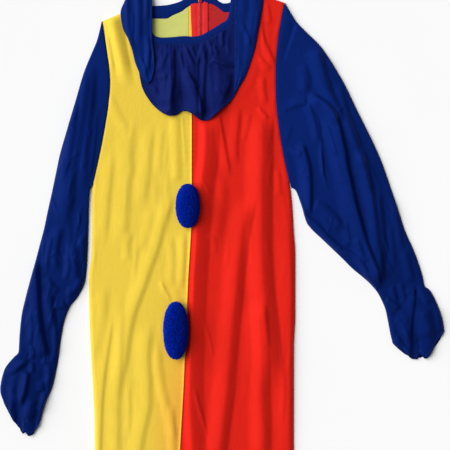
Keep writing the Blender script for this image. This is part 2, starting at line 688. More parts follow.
RIGHT_SLEEVE_CREASES = laid(
    # the long fold down the sleeve, from below the shoulder to the wrist
    ((236, 268, 254, 252, 272, 238, 288, 216, 298, 186, 306, 150, 312, 114, 320, 78, 328, 42, 338, 6,
     348, -30, 360, -64, 372, -96, 380, -130), 36, 10, 11.5, 0.07, 0.08),
    # the two above it
    ((252, 358, 260, 326, 270, 290, 282, 256, 296, 226, 308, 202), 30, 12, 7.4, 0.12, 0.15),
    ((296, 286, 304, 252, 314, 214, 326, 178, 340, 142), 21, 12, 4.3, 0.15, 0.2),
    ((304, 226, 320, 186, 336, 146, 348, 110), 18, 18, 5.3),
    # beside the outer edge
    ((340, 154, 348, 118, 356, 82, 364, 44, 370, 2, 374, -42, 380, -82, 384, -118), 27, 11, 9.9, 0.12, 0.1),
    ((374, 78, 378, 34, 382, -6, 384, -46, 386, -82), 10, 12, 4.7, 0.2, 0.2),
    ((408, 62, 412, 22, 418, -18, 426, -58), 15, 10, 2.8),
    ((428, -46, 436, -82, 444, -118), 15, 12, 3.1),
    ((400, 10, 404, -38, 408, -90), 12, 9, 1.9),
    # short ones below the armhole
    ((210, 408, 202, 384, 194, 360, 186, 336, 180, 314), 27, 8, -9.3, 0.08, 0.3),
    ((182, 224, 198, 235, 214, 241, 236, 244), 24, 7, 4.7, 0.12, 0.15),
    ((234, 246, 242, 226, 250, 198, 258, 158), 15, 6, 3.4, 0.12),
    ((260, 210, 272, 198, 284, 166, 296, 130), 12, 7, 2.8, *SHARP),
    ((260, 158, 264, 126, 266, 90), 9, 7, 2.5, *SHARP),
    ((188, 150, 192, 126, 200, 98), 9, 12, 4.0),
    ((194, 158, 208, 148, 226, 140), 15, 7, 3.4),
    ((220, 166, 230, 138, 236, 108, 238, 74, 238, 40, 236, 14), 24, 10, 7.1, 0.12, 0.15),
    ((224, 326, 232, 290, 228, 258), 21, 14, 3.4),
    ((200, 202, 194, 178, 188, 158), 15, 9, 2.8),
    ((244, 238, 256, 202, 262, 162, 264, 122, 272, 82, 282, 58), 10, 6, 2.0, *SHARP),
    ((264, 194, 278, 166, 294, 134), 10, 6, 2.2, *SHARP),
    # the long thin one above the under edge
    ((216, 62, 228, 20, 252, 0, 276, -26, 302, -49, 324, -58, 342, -78, 364, -114), 10, 9, 5.0, 0.1, 0.12),
    ((246, 44, 264, 34, 284, 16, 308, -12), 24, 16, 5.3, 0.12),
    ((308, 10, 314, -18, 320, -46), 15, 9, 3.4),
    ((330, -24, 338, -50, 348, -78), 15, 9, 3.7),
    # frill
    ((448, -118, 447, -146, 443, -178, 439, -230), 24, 6, 4.5, 0.15, 0.12),
    ((392, -148, 406, -157, 420, -168), 15, 8, 5.0, 0.1),
    ((416, -178, 422, -204, 440, -236), 12, 12, 4.0),
    ((468, -158, 474, -190, 478, -226), 27, 30, 5.3),
    ((456, -120, 468, -140, 482, -162), 12, 14, 4.0),
    ((452, -226, 454, -248, 453, -270), 18, 12, -4.7, 0.4, 0.02),
    ((410, -222, 424, -242, 438, -262), 18, 9, 3.4, ENDS, 0.1),
    ((494, -162, 498, -190, 500, -218), 12, 12, 3.1, ENDS, 0.1),
    ((420, -114, 426, -138, 428, -158), 12, 9, 2.8),
    ((404, -118, 408, -138, 412, -158), 12, 8, 2.5),
)

LEFT_SLEEVE_CREASES = laid(
    # the strong fold above the wrist and the short ones beside it
    ((-310, -66, -308, -114, -306, -150, -303, -190, -298, -222, -293, -246, -286, -268),
     29, 12, 8.1, 0.12, 0.1),
    ((-280, -130, -280, -160, -276, -186, -272, -210), 20, 12, 6.0),
    ((-274, -161, -260, -164, -246, -160), 17, 7, 4.8),
    ((-270, -194, -269, -230, -270, -270), 10, 8, 3.3),
    ((-320, -170, -318, -210, -324, -250), 14, 9, 2.7),
    # down the sleeve
    ((-208, 318, -220, 226, -236, 120, -248, 30, -256, -30), 35, 18, 6.9, 0.12),
    ((-192, 338, -200, 242, -210, 142, -218, 58), 23, 14, 5.4),
    ((-184, 242, -192, 150, -204, 78), 14, 12, 3.3),
    ((-228, 254, -240, 170, -260, 74), 20, 14, 3.9),
    ((-256, 2, -266, -30, -270, -62, -264, -98), 20, 12, 4.5),
    ((-234, -30, -230, -66, -230, -94, -222, -122), 20, 14, 5.7),
    ((-248, -54, -245, -82, -250, -114), 9, 10, 3.6),
    ((-212, -102, -226, -124, -248, -144), 14, 9, 3.9),
    ((-276, -14, -284, -54, -288, -94), 14, 9, 2.7),
    ((-288, -102, -276, -122, -260, -134), 17, 9, 3.0),
    ((-212, -18, -216, -54, -214, -82), 12, 8, 2.7),
    # frill
    ((-325, -290, -328, -316, -334, -340, -344, -360), 23, 10, 7.2, 0.12, 0.2),
    ((-368, -298, -352, -290, -338, -278, -320, -272), 14, 9, 4.5),
    ((-322, -240, -314, -254, -318, -272), 10, 8, 3.3),
    ((-298, -270, -284, -273, -266, -270), 14, 9, 4.5),
    ((-282, -274, -282, -300, -290, -328), 14, 10, 3.9),
    ((-298, -310, -296, -336), 13, 10, 3.9),
    ((-312, -342, -318, -366, -328, -390), 17, 18, 5.4, ENDS, 0.1),
    ((-338, -350, -338, -378, -340, -410), 14, 9, -3.9, 0.4, 0.02),
    ((-316, -272, -314, -296), 10, 8, 3.3),
    ((-356, -318, -352, -342, -348, -366), 14, 10, 3.0),
    ((-286, -334, -294, -354, -300, -374), 12, 9, 3.0, ENDS, 0.1),
)

RUFFLE_CREASES = laid(
    # the long fold left of the middle, and the hollow that opens below it
    ((-33, 358, -33, 330, -32, 298, -36, 262, -40, 234), 29, 5, 4.2, 0.1, 0.15),
    ((-32, 310, -34, 282, -38, 254, -40, 222), 13, 26, 6.5, 0.3, 0.04),
    # the broad one that leans across the middle
    ((-14, 326, -4, 302, 8, 274, 18, 248, 22, 220), 29, 8, 5.8, 0.45, 0.05),
    ((27, 358, 28, 326, 26, 290, 25, 254, 25, 216), 9, 9, 7.5, 0.1, 0.04),
    # small ones below the band
    ((-10, 358, -2, 338, 10, 316), 7, 6, 4.0),
    ((14, 318, 20, 340, 30, 366), 7, 5, 4.0),
    ((0, 362, 6, 346, 14, 330), 5, 5, 2.5),
    ((36, 370, 42, 354, 44, 334), 7, 5, 3.2),
    ((-6, 299, 4, 289, 20, 272), 7, 6, 4.8, 0.15, 0.2),
    ((-20, 350, -18, 330, -12, 310), 7, 6, 3.0),
    ((-60, 356, -58, 330, -66, 302), 11, 8, 3.5),
    ((-46, 350, -52, 326, -60, 298), 9, 6, 2.8),
    ((-64, 292, -54, 296, -44, 292), 9, 8, 3.0),
    # the lump above the broad flat part, and its shadow
    ((42, 330, 52, 326, 66, 321, 88, 316), 13, 6, 8.0, 0.12, 0.02),
    ((66, 394, 64, 374, 66, 354), 7, 6, 4.5),
    ((78, 386, 76, 362, 80, 338), 7, 6, 3.5),
    ((48, 362, 50, 350, 56, 338), 7, 6, 3.0),
    ((52, 274, 58, 267, 66, 258), 5, 4, 3.0, *SHARP),
    ((80, 310, 78, 282, 62, 250), 37, 8, 5.5, 0.2),
    ((38, 338, 36, 294, 36, 250), 9, 14, 2.0),
    ((-76, 282, -64, 258, -54, 238), 11, 10, 2.8),
    ((-18, 254, -14, 238, -12, 226), 9, 10, 1.8, ENDS, 0.05),
    ((68, 282, 70, 262, 62, 242), 9, 8, 2.0),
)

LEFT_TURN_CREASES = laid(
    ((-126, 482, -126, 438, -124, 398, -118, 362, -106, 330), 8, 10, 3.0),
    ((-104, 482, -102, 430, -102, 386, -96, 354), 12, 10, 3.8),
    ((-88, 382, -82, 354, -84, 326, -86, 298), 10, 8, 4.3),
    ((-88, 482, -86, 442, -88, 402), 8, 8, 2.4),
    ((-78, 370, -72, 342, -74, 314), 6, 6, 2.4),
    ((-116, 430, -114, 402, -116, 374), 6, 6, 1.6),
    ((-100, 338, -92, 318, -86, 294), 6, 6, 2.2),
)

RIGHT_TURN_CREASES = laid(
    ((102, 406, 112, 382, 122, 354), 10, 7, 2.2),
    ((128, 482, 132, 438, 124, 390, 114, 342), 16, 18, 1.8),
    ((106, 482, 108, 450, 106, 414), 12, 12, 1.4),
    ((100, 338, 100, 310, 96, 278), 8, 8, 1.1),
    ((136, 434, 134, 406, 128, 374), 6, 6, 1.3),
)


# -------- finishes


@dataclass
class Board:
    """A material's node tree, with short ways to add and join nodes."""

    name: str
    material: bpy.types.Material = field(init=False)
    shader: bpy.types.Node = field(init=False)

    def __post_init__(self) -> None:
        """Start with a Principled shader alone."""
        self.material = bpy.data.materials.new(self.name)
        self.material.use_nodes = True
        self.shader = self.material.node_tree.nodes["Principled BSDF"]

    def put(self, node: bpy.types.Node, socket: str | int, value: object) -> None:
        """Set a node's input to a value, or join another node's output to it.

        Args:
            node: The node.
            socket: Name or number of its input.
            value: Value, or another node's output.
        """
        if isinstance(value, Socket):
            self.material.node_tree.links.new(value, node.inputs[socket])
        else:
            node.inputs[socket].default_value = value

    def add(self, kind: str, settings: dict | None = None, **sockets: object) -> bpy.types.Node:
        """Add a node.

        Args:
            kind: Type of the node after ShaderNode, such as Bump.
            settings: Properties of the node and their values.
            sockets: Input sockets, spaces as underscores, with a value or a socket to join.

        Returns:
            The new node.
        """
        node = self.material.node_tree.nodes.new("ShaderNode" + kind)
        for key, value in (settings or {}).items():
            setattr(node, key, value)
        for key, value in sockets.items():
            self.put(node, key.replace("_", " "), value)
        return node

    def cloth(self, **mapping: tuple[float, float, float]) -> Socket:
        """Place on the cloth, in metres along its UV map, turned or scaled where asked."""
        place = self.add("UVMap", {"uv_map": UV_NAME}).outputs["UV"]
        return self.add("Mapping", Vector=place, **mapping).outputs["Vector"] if mapping else place

    def place(self) -> Socket:
        """Place in space, from the object's own origin."""
        return self.add("TexCoord").outputs["Object"]

    def noise(self, vector: Socket, scale: float, detail: float, **sockets: object) -> Socket:
        """Cloudy noise, 0 to 1, of so many patches a unit."""
        made = self.add("TexNoise", Vector=vector, Scale=scale, Detail=detail, **sockets)
        return made.outputs["Fac"]

    def bands(self, vector: Socket, pitch: float, **sockets: object) -> Socket:
        """Even bands across X, a sine of 0 to 1 that repeats every pitch, in metres."""
        scale = WAVE_TURN / pitch
        made = self.add("TexWave", {"bands_direction": "X"}, Vector=vector, Scale=scale, **sockets)
        return made.outputs["Fac"]

    def mix(self, factor: object, low: object, high: object, blend: str = "MIX") -> Socket:
        """A colour between two.

        Args:
            factor: Share of the second, a socket or a number.
            low: First colour, a socket or four numbers.
            high: Second colour, the same.
            blend: How they mix.

        Returns:
            The colour's socket.
        """
        node = self.add("Mix", {"data_type": "RGBA", "blend_type": blend})
        for number, value in ((0, factor), (6, low), (7, high)):
            self.put(node, number, value)
        return node.outputs[2]

    def times(self, first: Socket, second: Socket) -> Socket:
        """One colour times another."""
        return self.mix(1.0, first, second, "MULTIPLY")

    def spread(self, value: Socket, low: float, high: float, to: Place = (0.0, 1.0)) -> Socket:
        """A value from low..high stretched to another range and held there."""
        made = self.add("MapRange", Value=value, From_Min=low, From_Max=high, To_Min=to[0], To_Max=to[1])
        return made.outputs["Result"]

    def bump(self, height: Socket, strength: float, distance: float, under: Socket | None = None) -> Socket:
        """A normal that follows a height.

        Args:
            height: Height, 0 to 1.
            strength: Share of its effect that is kept.
            distance: Height of 1, in metres.
            under: Normal that it adds to.

        Returns:
            The normal's socket.
        """
        node = self.add("Bump", Height=height, Strength=strength, Distance=distance)
        if under:
            self.put(node, "Normal", under)
        return node.outputs["Normal"]

    def finish(self, colour: Socket, roughness: Socket | float, **sockets: object) -> None:
        """Fill the shader's own sockets. Their names have underscores for spaces."""
        for key, value in {"Base Color": colour, "Roughness": roughness, **sockets}.items():
            self.put(self.shader, key.replace("_", " "), value)


def rgba(colour: Colour, gain: float = 1.0) -> tuple[float, float, float, float]:
    """Four numbers for a colour socket, each tone times gain."""
    return (*(min(1.0, tone * gain) for tone in colour), 1.0)


@dataclass(frozen=True)
class Finish:
    """A finish: its material's name, the record's slot and its main colour."""

    name: str
    slot: str
    colour: Colour

    def material(self) -> bpy.types.Material:
        """Make the material, once for all the pieces that have it.

        Returns:
            The material.
        """
        made = bpy.data.materials.get(self.name)
        if made is None:
            board = Board(self.name)
            self.fill(board)
            made = board.material
        return made

    def fill(self, board: Board) -> None:
        """Lay out the nodes. Each kind of finish has its own."""
        raise NotImplementedError


@dataclass(frozen=True)
class Satin(Finish):
    """Thin polyester satin: a close diagonal weave, soft sheen, faint uneven tone."""

    glow: Colour  # tint of its gloss and sheen
    worn: float = 0.1  # share of tone that the uneven patches take away
    thread: float = 0.0005  # pitch of the weave, in metres
    roughness: float = 0.46
    sheen: float = 0.02
    gloss: float = 0.3
    deepen: float = 0.0  # share of tone lost down the length of the piece
    through: Colour | None = None  # tone's factor where the other half's turning shows through
    lean: float = 0.0333  # of the centre seam, in radians
    tint_across: Place = (-0.075, -0.003)  # from where it starts to where it is whole, in metres
    tint_down: Place = (-0.05, -0.36)  # the same, in Y
    tint_foot: Place = (-0.56, -0.5)  # Y where it has ended, and where it starts to end

    def shown_through(self, board: Board) -> Socket:
        """Tint beside the centre seam: it grows towards the seam and down it, to the crotch.

        Args:
            board: The material's nodes.

        Returns:
            The tint's socket.
        """
        upright = board.add("Mapping", Vector=board.place(), Rotation=(0.0, 0.0, self.lean))
        apart = board.add("SeparateXYZ", Vector=upright.outputs["Vector"]).outputs
        amount = board.spread(apart["X"], *self.tint_across)
        for reach in (self.tint_down, self.tint_foot):
            amount = board.times(amount, board.spread(apart["Y"], *reach))
        return board.mix(amount, WHITE, rgba(self.through))

    def fill(self, board: Board) -> None:
        """Patches and long streaks of tone, a pucker of some millimetres and the weave on it.

        Args:
            board: The material's nodes.
        """
        cloth = board.cloth()
        patches = board.noise(cloth, 11.0, 3.0, Roughness=0.6)
        streaks = board.noise(board.cloth(Scale=(420.0, 26.0, 1.0)), 1.0, 2.0)
        pucker = board.noise(cloth, 95.0, 3.0, Roughness=0.55)
        weave = board.bands(board.cloth(Rotation=(0.0, 0.0, math.radians(24.0))), self.thread,
                            Distortion=0.6, Detail=1.0, Detail_Scale=0.4)
        plain, faded = rgba(self.colour), rgba(self.colour, 1.0 - self.worn)
        tone = board.mix(board.spread(patches, 0.35, 0.7), plain, faded)
        tone = board.mix(board.spread(streaks, 0.42, 0.72), tone, rgba(self.colour, 1.0 + 0.5 * self.worn))
        if self.deepen:
            down = board.spread(board.add("SeparateXYZ", Vector=cloth).outputs["Y"], 0.12, 0.5)
            tone = board.times(tone, board.mix(down, WHITE, rgba(WHITE[:3], 1.0 - self.deepen)))
        if self.through:
            tone = board.times(tone, self.shown_through(board))
        rough = board.spread(patches, 0.3, 0.7, (self.roughness - 0.04, self.roughness + 0.05))
        normal = board.bump(weave, 0.3, 0.00005, board.bump(pucker, 0.35, 0.0008))
        glow = rgba(self.glow)
        board.finish(tone, rough, Normal=normal, Specular_IOR_Level=self.gloss, Specular_Tint=glow,
                     Sheen_Weight=self.sheen, Sheen_Roughness=0.45, Sheen_Tint=glow)


@dataclass(frozen=True)
class Tape(Finish):
    """Woven zip tape: fine ribs along its length, matt."""

    rib: float = 0.0011  # pitch of the ribs, in metres

    def fill(self, board: Board) -> None:
        """Ribs, darker between them, with a fine fuzz.

        Args:
            board: The material's nodes.
        """
        ribs = board.bands(board.cloth(), self.rib, Distortion=0.3)
        fuzz = board.noise(board.cloth(), 900.0, 2.0)
        tone = board.mix(board.spread(ribs, 0.0, 0.5), rgba(self.colour, 0.72), rgba(self.colour))
        normal = board.bump(fuzz, 0.3, 0.0001, board.bump(ribs, 0.5, 0.0001))
        board.finish(tone, 0.62, Normal=normal, Specular_IOR_Level=0.12, Sheen_Weight=0.04,
                     Sheen_Roughness=0.5)


@dataclass(frozen=True)
class Yarn(Finish):
    """Cut acrylic yarn: each strand has a tone of its own, darker towards its root."""

    root: Colour
    shine: float = 3.0  # brightness of its gloss and sheen, in tones of the yarn

    def fill(self, board: Board) -> None:
        """The strands' own tones and depths, from their attribute, with a fine fuzz.

        Args:
            board: The material's nodes.
        """
        strands = board.add("Attribute", {"attribute_name": STRAND_TONE}).outputs["Color"]
        split = board.add("SeparateColor", Color=strands).outputs
        tone = board.mix(split["Red"], rgba(self.colour, 0.78), rgba(self.colour, 1.3))
        tone = board.mix(split["Green"], rgba(self.root), tone)
        normal = board.bump(board.noise(board.place(), 1400.0, 2.0), 0.5, 0.0003)
        glow = rgba(self.colour, self.shine)
        board.finish(tone, 0.85, Normal=normal, Specular_IOR_Level=0.25, Specular_Tint=glow,
                     Sheen_Weight=0.12, Sheen_Roughness=0.6, Sheen_Tint=glow)


@dataclass(frozen=True)
class Enamel(Finish):
    """Painted metal, moulded nylon or waxed thread: smooth, with faint scuffs."""

    roughness: float = 0.3

    def fill(self, board: Board) -> None:
        """Scuffs that dull and darken the surface a little.

        Args:
            board: The material's nodes.
        """
        scuffs = board.noise(board.place(), 420.0, 4.0)
        worn = board.spread(scuffs, 0.5, 0.72)
        tone = board.mix(worn, rgba(self.colour), rgba(self.colour, 0.8))
        rough = board.spread(worn, 0.0, 1.0, (self.roughness, self.roughness + 0.2))
        normal = board.bump(scuffs, 0.15, 0.0001)
        board.finish(tone, rough, Normal=normal, Coat_Weight=0.2, Coat_Roughness=0.25)


YELLOW = Satin("satin_yellow", "yellow_satin", (0.8, 0.572, 0.059), (1.0, 0.8, 0.2), worn=0.07,
               gloss=0.2, through=(1.0, 0.68, 0.78))
YELLOW_INSIDE = Satin("satin_yellow_inside", "yellow_satin", (0.6, 0.62, 0.17), (0.9, 0.9, 0.3),
                      roughness=0.6, gloss=0.2)
RED = Satin("satin_red", "red_satin", (0.69, 0.0165, 0.0098), (1.0, 0.12, 0.08), worn=0.08, gloss=0.14)
RED_INSIDE = Satin("satin_red_inside", "red_satin", (0.46, 0.022, 0.024), (0.9, 0.1, 0.1),
                   roughness=0.6, gloss=0.2)
BLUE = Satin("satin_blue", "blue_satin", (0.0034, 0.0162, 0.133), (0.03, 0.12, 0.9), worn=0.12, gloss=0.1)
SLEEVE_BLUE = Satin("satin_blue_sleeve", "blue_satin", (0.003, 0.0148, 0.126), (0.03, 0.12, 0.9),
                    worn=0.12, gloss=0.1, deepen=0.24)
NAVY = Satin("satin_navy", "blue_satin", (0.0056, 0.0116, 0.096), (0.03, 0.1, 0.75), worn=0.12, gloss=0.1)
OVERLOCK = Enamel("thread_olive", "yellow_satin", (0.2, 0.18, 0.02), 0.6)
BLUE_THREAD = Enamel("thread_blue", "blue_satin", (0.006, 0.02, 0.15), 0.5)
RED_THREAD = Enamel("thread_red", "red_satin", (0.6, 0.02, 0.012), 0.5)
YELLOW_THREAD = Enamel("thread_yellow", "yellow_satin", (0.78, 0.55, 0.07), 0.5)
ZIP_TAPE = Tape("zip_tape_red", "zip_tape", (0.8, 0.022, 0.024))
ZIP_TEETH = Enamel("zip_teeth_red", "zip_tape", (0.55, 0.02, 0.02), 0.4)
ZIP_ENAMEL = Enamel("zip_slider_red", "zip_slider", (0.42, 0.012, 0.012), 0.25)
POMPOM_YARN = Yarn("yarn_blue", "blue_yarn", (0.0014, 0.021, 0.37), (0.0006, 0.009, 0.15))


def dress(piece: Piece, finish: Finish, *nodes: str) -> Piece:
    """Give a piece its finish, let it ride, and name the CAD nodes it stands for.

    Args:
        piece: The object.
        finish: Its finish.
        nodes: CAD nodes that it replaces.

    Returns:
        The same object.
    """
    piece.data.materials.append(finish.material())
    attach(piece, "root")
    if nodes:
        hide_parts(*nodes)
    log.info("%s: %d faces, %s", piece.name, len(piece.data.polygons), finish.name)
    return piece


# -------- front and back


class Spot(NamedTuple):
    """Where a pompom sits, its half sizes and the seed of its strands."""

    name: str
    x: float
    y: float
    half_x: float
    half_y: float
    half_z: float
    seed: int


POMPOM_SPOTS = (
    Spot("pompom_upper", -4, 38, 25, 45, 24, 5),
    Spot("pompom_lower", -28, -210, 26, 59, 25, 8),
)
# Where something lies on the front, so that its folds die away: middle and half sizes
CALM_PLACES = table(
    (0, 330, 92, 96), (-96, 398, 27, 104), (104, 400, 36, 124),
    *((spot.x, spot.y, 0.7 * spot.half_x, 0.7 * spot.half_y) for spot in POMPOM_SPOTS),
)


@dataclass
class Cloth:
    """A sheet of cloth that stands for a CAD node.

    Each kind works out a grid of places on its outer face and makes its piece by sew().
    """

    name: str  # of the CAD node
    finish: Finish
    flat: Place  # width and length that it was cut to, in metres
    area: float | None  # of the cut in square metres, where it is no rectangle
    rests_on: Sequence[str]
    grid: Array = field(init=False)
    held: ClassVar[Hold] = Hold.LAID

    def sew(self, plan: Array, height: Array, wall: float = CLOTH, is_tube: bool = False) -> None:
        """Make the piece from its grid, dress it and say how it was cut and how it lies.

        Args:
            plan: X and Y of the grid's places.
            height: Their heights.
            wall: Thickness of the cloth.
            is_tube: Whether the rows close into rings.
        """
        self.grid = np.concatenate([plan, height[..., None]], axis=2)
        piece = grid_piece(self.name + "_cloth", self.grid, wall, is_tube)
        dress(piece, self.finish, self.name)


@dataclass
class FrontLayer:
    """Height of the garment's front layer over the floor, as a function of the place."""

    creases: Sequence[Crease]
    calm_rim: float = 1.25  # share of a calm place's size at which the folds are whole
    seam_calm: float = 10.0  # distance from the seam within which creases die away
    seam_dip: float = 1.0
    seam_dip_width: float = 2.4
    seam_edge: float = 1.4  # ridge where the left half's turning lies under the seam
    seam_edge_at: float = 0.9
    seam_edge_width: float = 1.5
    pucker: float = 0.32
    pucker_pitch: float = 12.0
    pucker_reach: float = 8.0

    def calmness(self, x: Array, y: Array) -> Array:
        """How far something lies on the layer: each calm place is an ellipse with a soft rim.

        Args:
            x: Places' X.
            y: Places' Y.

        Returns:
            1 in the calm places and 0 past their rims.
        """
        still = np.zeros(np.shape(x))
        for middle_x, middle_y, half_x, half_y in CALM_PLACES:
            reach = np.hypot((x - middle_x) / half_x, (y - middle_y) / half_y)
            still = np.maximum(still, smooth((self.calm_rim - reach) / (self.calm_rim - 1.0)))
        return still

    def height(self, plan: Array) -> Array:
        """Loft, less what it settles by, plus the folds, with the centre seam and its puckers.

        The seam is a bell-shaped dip right of it and a bell-shaped ridge left of it. The
        puckers are a sine along the seam that dies away exponentially from it. Both end
        at the crotch.

        Args:
            plan: X and Y of the places.

        Returns:
            Height of each place.
        """
        x, y = plan[..., 0], plan[..., 1]
        free = 1.0 - self.calmness(x, y)
        side = x - np.interp(-y, -CENTRE_SEAM[:, 1], CENTRE_SEAM[:, 0])
        away = np.abs(side)
        on_seam = smooth((y - CROTCH_Y - SEAM_FADE) / SEAM_FADE)
        whole = smooth(away / self.seam_calm) * on_seam + (1.0 - on_seam)
        rise = rise_of(self.creases, plan) * whole - SETTLE
        height = np.maximum(LOFT + rise * free, LOWEST_TOP)
        dip = self.seam_dip * bell(away / self.seam_dip_width) * smooth(side / 0.2 + 0.5)
        ridge = self.seam_edge * bell((side + self.seam_edge_at) / self.seam_edge_width)
        ripple = np.sin(2.0 * np.pi * y / self.pucker_pitch + 1.6 * np.sin(y / 31.0))
        ripple = self.pucker * ripple * np.exp(-away / self.pucker_reach)
        return height + (ripple + ridge - dip) * free * on_seam


def turned_down(height: Array, distance: Array) -> Array:
    """Lower a layer to the floor at a closed edge, in a round roll.

    The height times the root of 1 - (1 - distance / roll) ^ 2.2, held to 0..1.
    """
    inward = 1.0 - np.clip(distance / ROLL, 0.0, 1.0)
    return height * np.sqrt(1.0 - inward ** ROLL_POWER)


@dataclass
class FrontPanel(Cloth):
    """One half of the front, from its shoulder seam to the hem of its leg."""

    sections: Array
    side: float  # -1 left of the centre seam, 1 right of it
    layer: FrontLayer
    count: int = 72  # even columns
    fine: float = 2.6  # longest step along the panel, above the leg
    coarse: float = 4.6
    shoulder_steps: tuple[float, ...] = (0.04, 0.18, 0.5, 1.0, 1.7)
    hem_turning: float = 14.0
    hem_lift: float = 0.5
    hem_sag: float = 2.3  # by which it sinks towards the back here and there
    hem_draw: float = 3.2  # by which it draws up, uneven
    hem_reach: float = 90.0
    hem_wave: float = 57.0
    armhole_dip: float = 0.9
    armhole_dip_width: float = 2.2

    def strip(self) -> Strip:
        """Lay out the table's rows close together, closest beside the shoulder seam.

        Returns:
            The strip.
        """
        rows = self.sections.copy()
        rows[FIRST_SEWN:, 0] += self.side * 0.5 * SEAM_GAP
        reach = Strip(rows).reach()
        spacing = np.where(np.arange(len(reach)) < COARSE_FROM, self.fine, self.coarse)
        first = np.array(self.shoulder_steps) / reach[0]
        return Strip(eased(rows, np.sort(np.append(fine_rows(reach, spacing), first))))

    def build(self) -> None:
        """Grid of plan places with the layer's height, turned down at closed edges.

        Columns lie at fixed distances from both edges and evenly between them. Towards the
        hem the layer sinks and draws up by one uneven sine wave across the leg.
        """
        strip = self.strip()
        shut_inner, shut_outer = smooth(strip.rows[:, 4:5]), smooth(strip.rows[:, 5:6])
        inner, outer = (SEAM_STEPS + shut * (EDGE_STEPS - SEAM_STEPS) for shut in (shut_inner, shut_outer))
        distance = strip.columns(inner, outer, self.count)
        left = strip.width - distance
        plan = strip.plan(distance / strip.width)
        height = self.layer.height(plan)
        from_hem = plan[..., 1] - self.sections[-1, 1]
        wave = np.sin(2.0 * np.pi * plan[..., 0] / self.hem_wave + 1.3 * np.sin(plan[..., 0] / 21.0))
        near_hem = (0.5 + 0.5 * wave) * smooth(1.0 - from_hem / self.hem_reach)
        plan[..., 1] += self.hem_draw * near_hem
        turning = self.hem_lift * smooth((self.hem_turning - from_hem) / 1.2)
        height += turning - self.hem_sag * near_hem
        height += shut_inner * (turned_down(height, distance) - height)
        height += shut_outer * (turned_down(height, left) - height)
        height -= self.armhole_dip * bell(left / self.armhole_dip_width) * (1.0 - shut_outer)
        below_shoulder = travelled(strip.middle())[:, None]
        self.sew(plan, np.minimum(height, turned_down(height, below_shoulder)))


def pulled_in(points: Array, distance: float) -> Array:
    """First place of a line, moved along the line by a distance."""
    return points[0] + distance * unit(points[1] - points[0])


@dataclass
class BackPanel(Cloth):
    """One half of the back, flat on the floor, inside face up."""

    sections: Array
    inner_top: Array
    side: float
    inset: float = 1.8
    corner_inset: float = 2.52
    step: float = 9.0
    count: int = 26
    crowding: float = 1.25  # power by which the columns crowd towards the inner line
    under_band: float = 2.0  # by which the neckline runs under its band
    neck_foot: float = 400.0  # the inner line is neckline above this Y

    def build(self) -> None:
        """Grid between the inner line and the outer line, one wall thick."""
        underarm, crotch = (int(np.argmax(self.sections[:, shut] > 0.0)) for shut in (5, 4))
        outer = self.sections[:, 2:4].copy()
        outer[underarm - 1:, 0] -= self.side * self.inset
        outer[0] = pulled_in(outer, self.corner_inset)
        upper = self.inner_top.copy()
        upper[:, 1] += self.under_band * (upper[:, 1] > self.neck_foot)
        upper[0] = pulled_in(upper, self.corner_inset)
        seam = along(ZIP_TO_CROTCH, np.linspace(0.0, 1.0, crotch - len(upper)))
        inseam = self.sections[crotch:, 0:2].copy()
        seam[:, 0] += self.side
        seam[-1, 0] += self.side * self.inset
        inseam[:, 0] += self.side * self.inset
        edges = np.concatenate([np.concatenate([upper, seam, inseam]), outer], axis=1)
        at = fine_rows(np.linalg.norm(np.diff(outer, axis=0), axis=1), self.step)
        rows = np.stack([np.interp(at, np.arange(len(edges)), column) for column in edges.T], axis=1)
        plan = Strip(rows).plan(np.linspace(0.0, 1.0, self.count)[None, :] ** self.crowding)
        self.sew(plan, np.full(plan.shape[:2], WALL), BACK_CLOTH)


@dataclass
class TurnedStrip:
    """The back's edge beside the zip, turned over so that its right side shows."""

    name: str = "back_yellow_turning"
    top: tuple[float, float, float] = (-3.6, 9.0, 446.0)  # outer X, inner X and Y
    foot: tuple[float, float, float] = (-3.0, 9.0, -56.0)
    wall: float = 0.35
    lift: float = 0.42  # of its face over the panel's
    ripple: float = 0.12
    wander: float = 0.7  # of its outer edge
    edge_width: float = 0.7  # over which that edge rolls down
    grid: Array = field(init=False)

    def build(self) -> None:
        """Grid down the strip whose outer edge wanders a little and rolls down."""
        down = np.linspace(0.0, 1.0, 150)[:, None]
        across = np.linspace(0.0, 1.0, 9)[None, :] ** 1.6
        first, last = np.array(self.top), np.array(self.foot)
        outer_x, inner_x, y = ((first + (last - first) * down).T)[:, :, None]
        outer_x = outer_x + self.wander * np.sin(y / 17.0) * np.sin(y / 41.0)
        x = outer_x + (inner_x - outer_x) * across
        height = WALL + self.lift + self.ripple * np.sin(y / 6.0 + np.sin(y / 15.0)) * across
        height = height - self.lift * bell((x - outer_x) / self.edge_width)
        self.grid = np.stack([x, y * np.ones_like(x), height], axis=2)
        piece = dress(grid_piece(self.name, self.grid, self.wall), YELLOW)


# -------- sleeves


